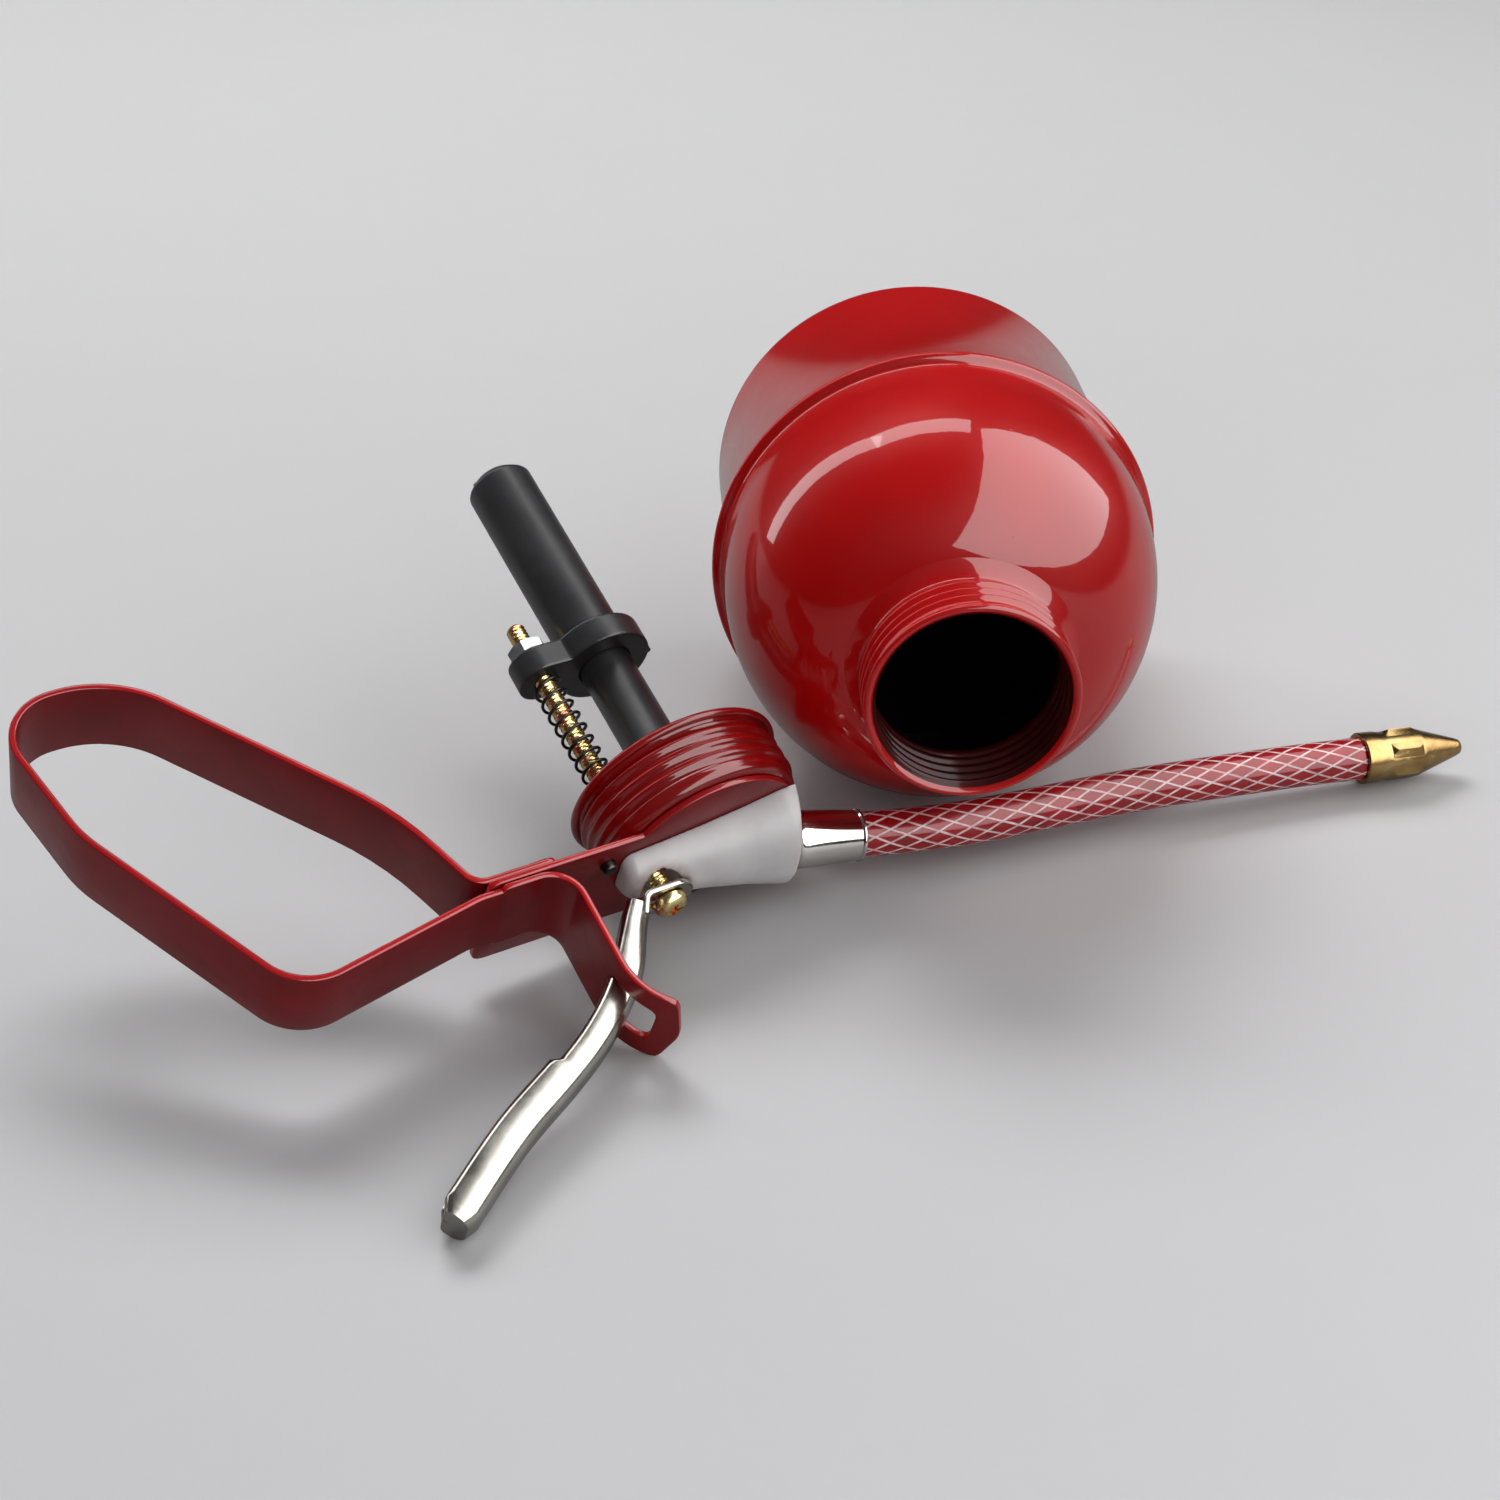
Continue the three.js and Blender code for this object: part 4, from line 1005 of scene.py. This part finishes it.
def lever_blade():
    """The channel with its flat eye under the screw's head and a notch on the strap's slot."""
    neck = [(-8, EYE_HEIGHT, 0), (-18.2, EYE_HEIGHT, 2), (-20.4, 13.0, 0)]
    neck = spaced(bent(neck, 6), 1.0)
    far = lengths(neck)[-1]
    outline = arc(EYE_RADIUS, 0, EYE_RADIUS, 90, 270, 20) + [(far, -4.0), (far, 4.0)]
    eye = loose(bent_sheet(outline, [], neck, EYE_SHEET, 0.3))
    slot = [bar(EYE_HOLE, 7, 15, SCREW_X - 0.1), block((3.4, 2 * EYE_HOLE, 8), (SCREW_X - 1.8, 0, 11))]
    slot.append(bar(EYE_HOLE, 7, 15, SCREW_X - 3.5))
    notch = bar(FULCRUM_RADIUS, -LEVER_WIDTH, LEVER_WIDTH, sides=32)
    fulcrum = (LEVER_PIVOT[0], 0, LEVER_PIVOT[1])
    notch.data.transform(Matrix.Translation(fulcrum) @ Matrix.Rotation(math.pi / 2, 4, "X"))
    throat = block((2 * FULCRUM_RADIUS, 2 * LEVER_WIDTH, 2.6), (fulcrum[0], 0, fulcrum[2] - 1.3))
    mesh = taken(combined(lever_channel(), adds=[eye], cuts=[*slot, notch, throat]))
    mesh.transform(HEAD)
    piece("lever_blade", mesh, "lever_arm", ["lever"], [NICKEL])


# -------------------- hose and tip
def on_outlet(distance):
    """A point on the outlet's axis, at a distance from the hub's front."""
    ahead = Vector((math.cos(OUTLET_TILT), 0, math.sin(OUTLET_TILT)))
    return Vector((OUTLET_X, 0, OUTLET_Z)) + ahead * distance


def hose_ferrule():
    bore = HOSE_RADIUS + 0.05
    profile = [(3.3, 0.1), (5.2, 0.1), *arc(5.35, 0.65, 0.55, -90, 60, 8), (5.5, 1.5), (5.6, 2.2)]
    profile += [(5.45, 6.0), (5.15, 10.5), (4.9, 13.4), (4.86, 14.0), *arc(4.78, 14.5, 0.4, -60, 90, 8)]
    profile += [(bore, 14.9), (bore, 2.4), (3.3, 2.4), (3.3, 0.1)]
    mesh = mesh_from(revolved(profile, 96), "ferrule", HEAD @ onto_outlet())
    piece("ferrule", mesh, "pump_head", ["hose_ferrule"], [CHROME])


HOSE_PATH = [on_outlet(2.8), on_outlet(FERRULE_LENGTH + 1), (49.4, 0.3, 14.8), (88.6, 2.4, 21.4)]
HOSE_PATH += [(123.8, 6.4, 30.2), (137, 8.4, 34.2)]
HOSE_LINE = curve_through(HOSE_PATH, 40)


def hose_skin():
    outer = swept(HOSE_LINE, HOSE_RADIUS, 48)
    inner = swept(HOSE_LINE, 2.6, 48)
    along = lengths(HOSE_LINE)
    grid = np.concatenate([outer, inner[::-1]])
    scale = np.concatenate([along, along[::-1], [0]]) * MM
    bm = grid_bmesh(grid, wrap_rows=True, uv_scale=list(scale))
    mesh = mesh_from(bm, "hose_skin", HEAD)
    hose = piece("hose_skin", mesh, None, ["hose_rear", "hose_front"], [hose_pvc()])
    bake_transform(hose)


TIP_FLATS = 9.8  # across the hexagon


def nozzle_tip():
    """Brass tip: collar, hexagon, and a cone with a fine bore; its stem sits in the hose."""
    profile = [(1, -9), (2.45, -9), (2.45, 0.1), (5.1, 0.1), (5.35, 0.35), (5.3, 3.4), (5.05, 4.6), (5, 6)]
    profile += [(5, 12.6), (4.7, 13.4), (1.9, 21.9), (1.55, 22.7), (1.2, 23), (1, 23), (1, -9)]
    body = revolved(profile, 64)
    body.from_mesh(taken(combined(hexagon(TIP_FLATS, 5.2, 12.9, 1.6), cuts=[bar(4.0, 4, 14)])))
    direction = Vector(HOSE_LINE[-1] - HOSE_LINE[-3]).normalized()
    turn = Vector((0, 0, 1)).rotation_difference(direction).to_matrix().to_4x4()
    mesh = mesh_from(body, "tip", HEAD @ Matrix.Translation(HOSE_LINE[-1]) @ turn)
    world = (HEAD.to_3x3() @ direction).normalized()
    brass = brass_turned(HEAD @ Vector(HOSE_LINE[-1]), world)
    piece("tip", mesh, "hose_end", ["nozzle_tip"], [brass])
    return brass


# -------------------- stage, light and camera
TARGET = Vector((-8.015, 42.113, 0.252)) * MM
CAMERA_DISTANCE, CAMERA_HEIGHT = 470.16, math.radians(36)
LENS_MM, SENSOR_MM = 52.8, 36


def stage():
    bm = bmesh.new()
    half = 5.0
    bm.faces.new([bm.verts.new((x * half, y * half, 0)) for x, y in ((-1, -1), (1, -1), (1, 1), (-1, 1))])
    mesh = bpy.data.meshes.new("bench")
    bm.to_mesh(mesh)
    bm.free()
    mesh.materials.append(bench_top())
    placed("bench", mesh)


ALONG_X, ALONG_Y = (1, 0, 0), (0, 1, 0)
SHINE, SHADE = ("glossy",), ("diffuse",)


def softbox(name, direction, distance, lengthways, size, radiance, slide=0.0, sees=SHINE + SHADE):
    """A soft panel facing the object. Its first size lies along lengthways, in metres, and slide
    moves it that way; sees says which of the object's reflections it takes part in."""
    back = Vector(direction).normalized()
    along = Vector(lengthways)
    along = (along - back * along.dot(back)).normalized()
    lamp = bpy.data.lights.new(name, "AREA")
    lamp.shape = "RECTANGLE"
    lamp.size, lamp.size_y = size
    lamp.energy = radiance * math.pi * size[0] * size[1]
    thing = placed(name, lamp)
    turn = Matrix((along, back.cross(along), back)).transposed().to_4x4()
    thing.matrix_world = Matrix.Translation(back * distance + along * slide) @ turn
    thing.visible_camera = False
    thing.visible_glossy = "glossy" in sees
    thing.visible_diffuse = "diffuse" in sees


def lights():
    """A mirrored window and two strips for the highlights; the key and the fills only shade."""
    softbox("right_window", (0.72, 0, 0.69), 0.95, ALONG_Y, (3.2, 1.05), 4.6, slide=-1.02, sees=SHINE)
    softbox("back_strip", (-0.10, 0.49, 0.865), 1.15, ALONG_X, (0.72, 0.20), 4.6)
    softbox("left_strip", (-0.75, 0.495, 0.50), 1.03, (0.575, 0.07, 0.82), (1.08, 0.17), 4.6, slide=0.04)
    softbox("key", (-0.18, 0.55, 0.80), 1.3, ALONG_X, (0.7, 0.6), 7.5, sees=SHADE)
    softbox("right_fill", (0.72, -0.1, 0.69), 1.1, ALONG_Y, (1.2, 1.0), 1.8, sees=SHADE)
    softbox("front_fill", (-0.1, -0.75, 0.62), 1.3, ALONG_X, (1.4, 1.0), 1.4, sees=SHADE)
    world = bpy.data.worlds.new("studio")
    bpy.context.scene.world = world
    world.use_nodes = True
    nodes, links = world.node_tree.nodes, world.node_tree.links
    where = nodes.new("ShaderNodeTexCoord")
    split = nodes.new("ShaderNodeSeparateXYZ")
    ramp = nodes.new("ShaderNodeValToRGB")
    low, high = ramp.color_ramp.elements
    low.position, low.color = 0.0, (0.02, 0.02, 0.021, 1)
    high.position, high.color = 0.9, (0.09, 0.09, 0.095, 1)
    links.new(where.outputs["Generated"], split.inputs[0])
    links.new(split.outputs[2], ramp.inputs[0])
    links.new(ramp.outputs[0], nodes["Background"].inputs[0])
    nodes["Background"].inputs[1].default_value = 1.0


def camera():
    lens = bpy.data.cameras.new("camera")
    lens.lens, lens.sensor_width = LENS_MM, SENSOR_MM
    thing = placed("camera", lens)
    away = Vector((0, -math.cos(CAMERA_HEIGHT), math.sin(CAMERA_HEIGHT)))
    thing.location = TARGET + away * CAMERA_DISTANCE * MM
    thing.rotation_euler = (-away).to_track_quat("-Z", "Y").to_euler()
    bpy.context.scene.camera = thing


def carried_over(node, material):
    """A hidden CAD piece keeps its shape and gets a finish."""
    mesh = frame["nodes"][node].data
    mesh.materials.clear()
    mesh.materials.append(material)


reservoir_cup()
reservoir_dome()
screw_cap()
cap_gasket()
base_plate()
handle_strap()
nozzle_hub()
hub_pin()
plunger_tube()
pump_cylinder()
inlet_plug()
pull_screw()
pull_nut()
return_spring()
lever_blade()
hose_ferrule()
hose_skin()
BRASS = nozzle_tip()
CARRIED = {"outlet_ball": BALL, "inlet_ball": BALL, "outlet_spring": STEEL, "plunger_seal": RUBBER}
CARRIED |= {"hub_seal_washer": RUBBER, "hose_nipple": BRASS}
for node, material in CARRIED.items():
    carried_over(node, material)
stage()
lights()
camera()
bpy.context.scene.view_settings.view_transform = "Standard"
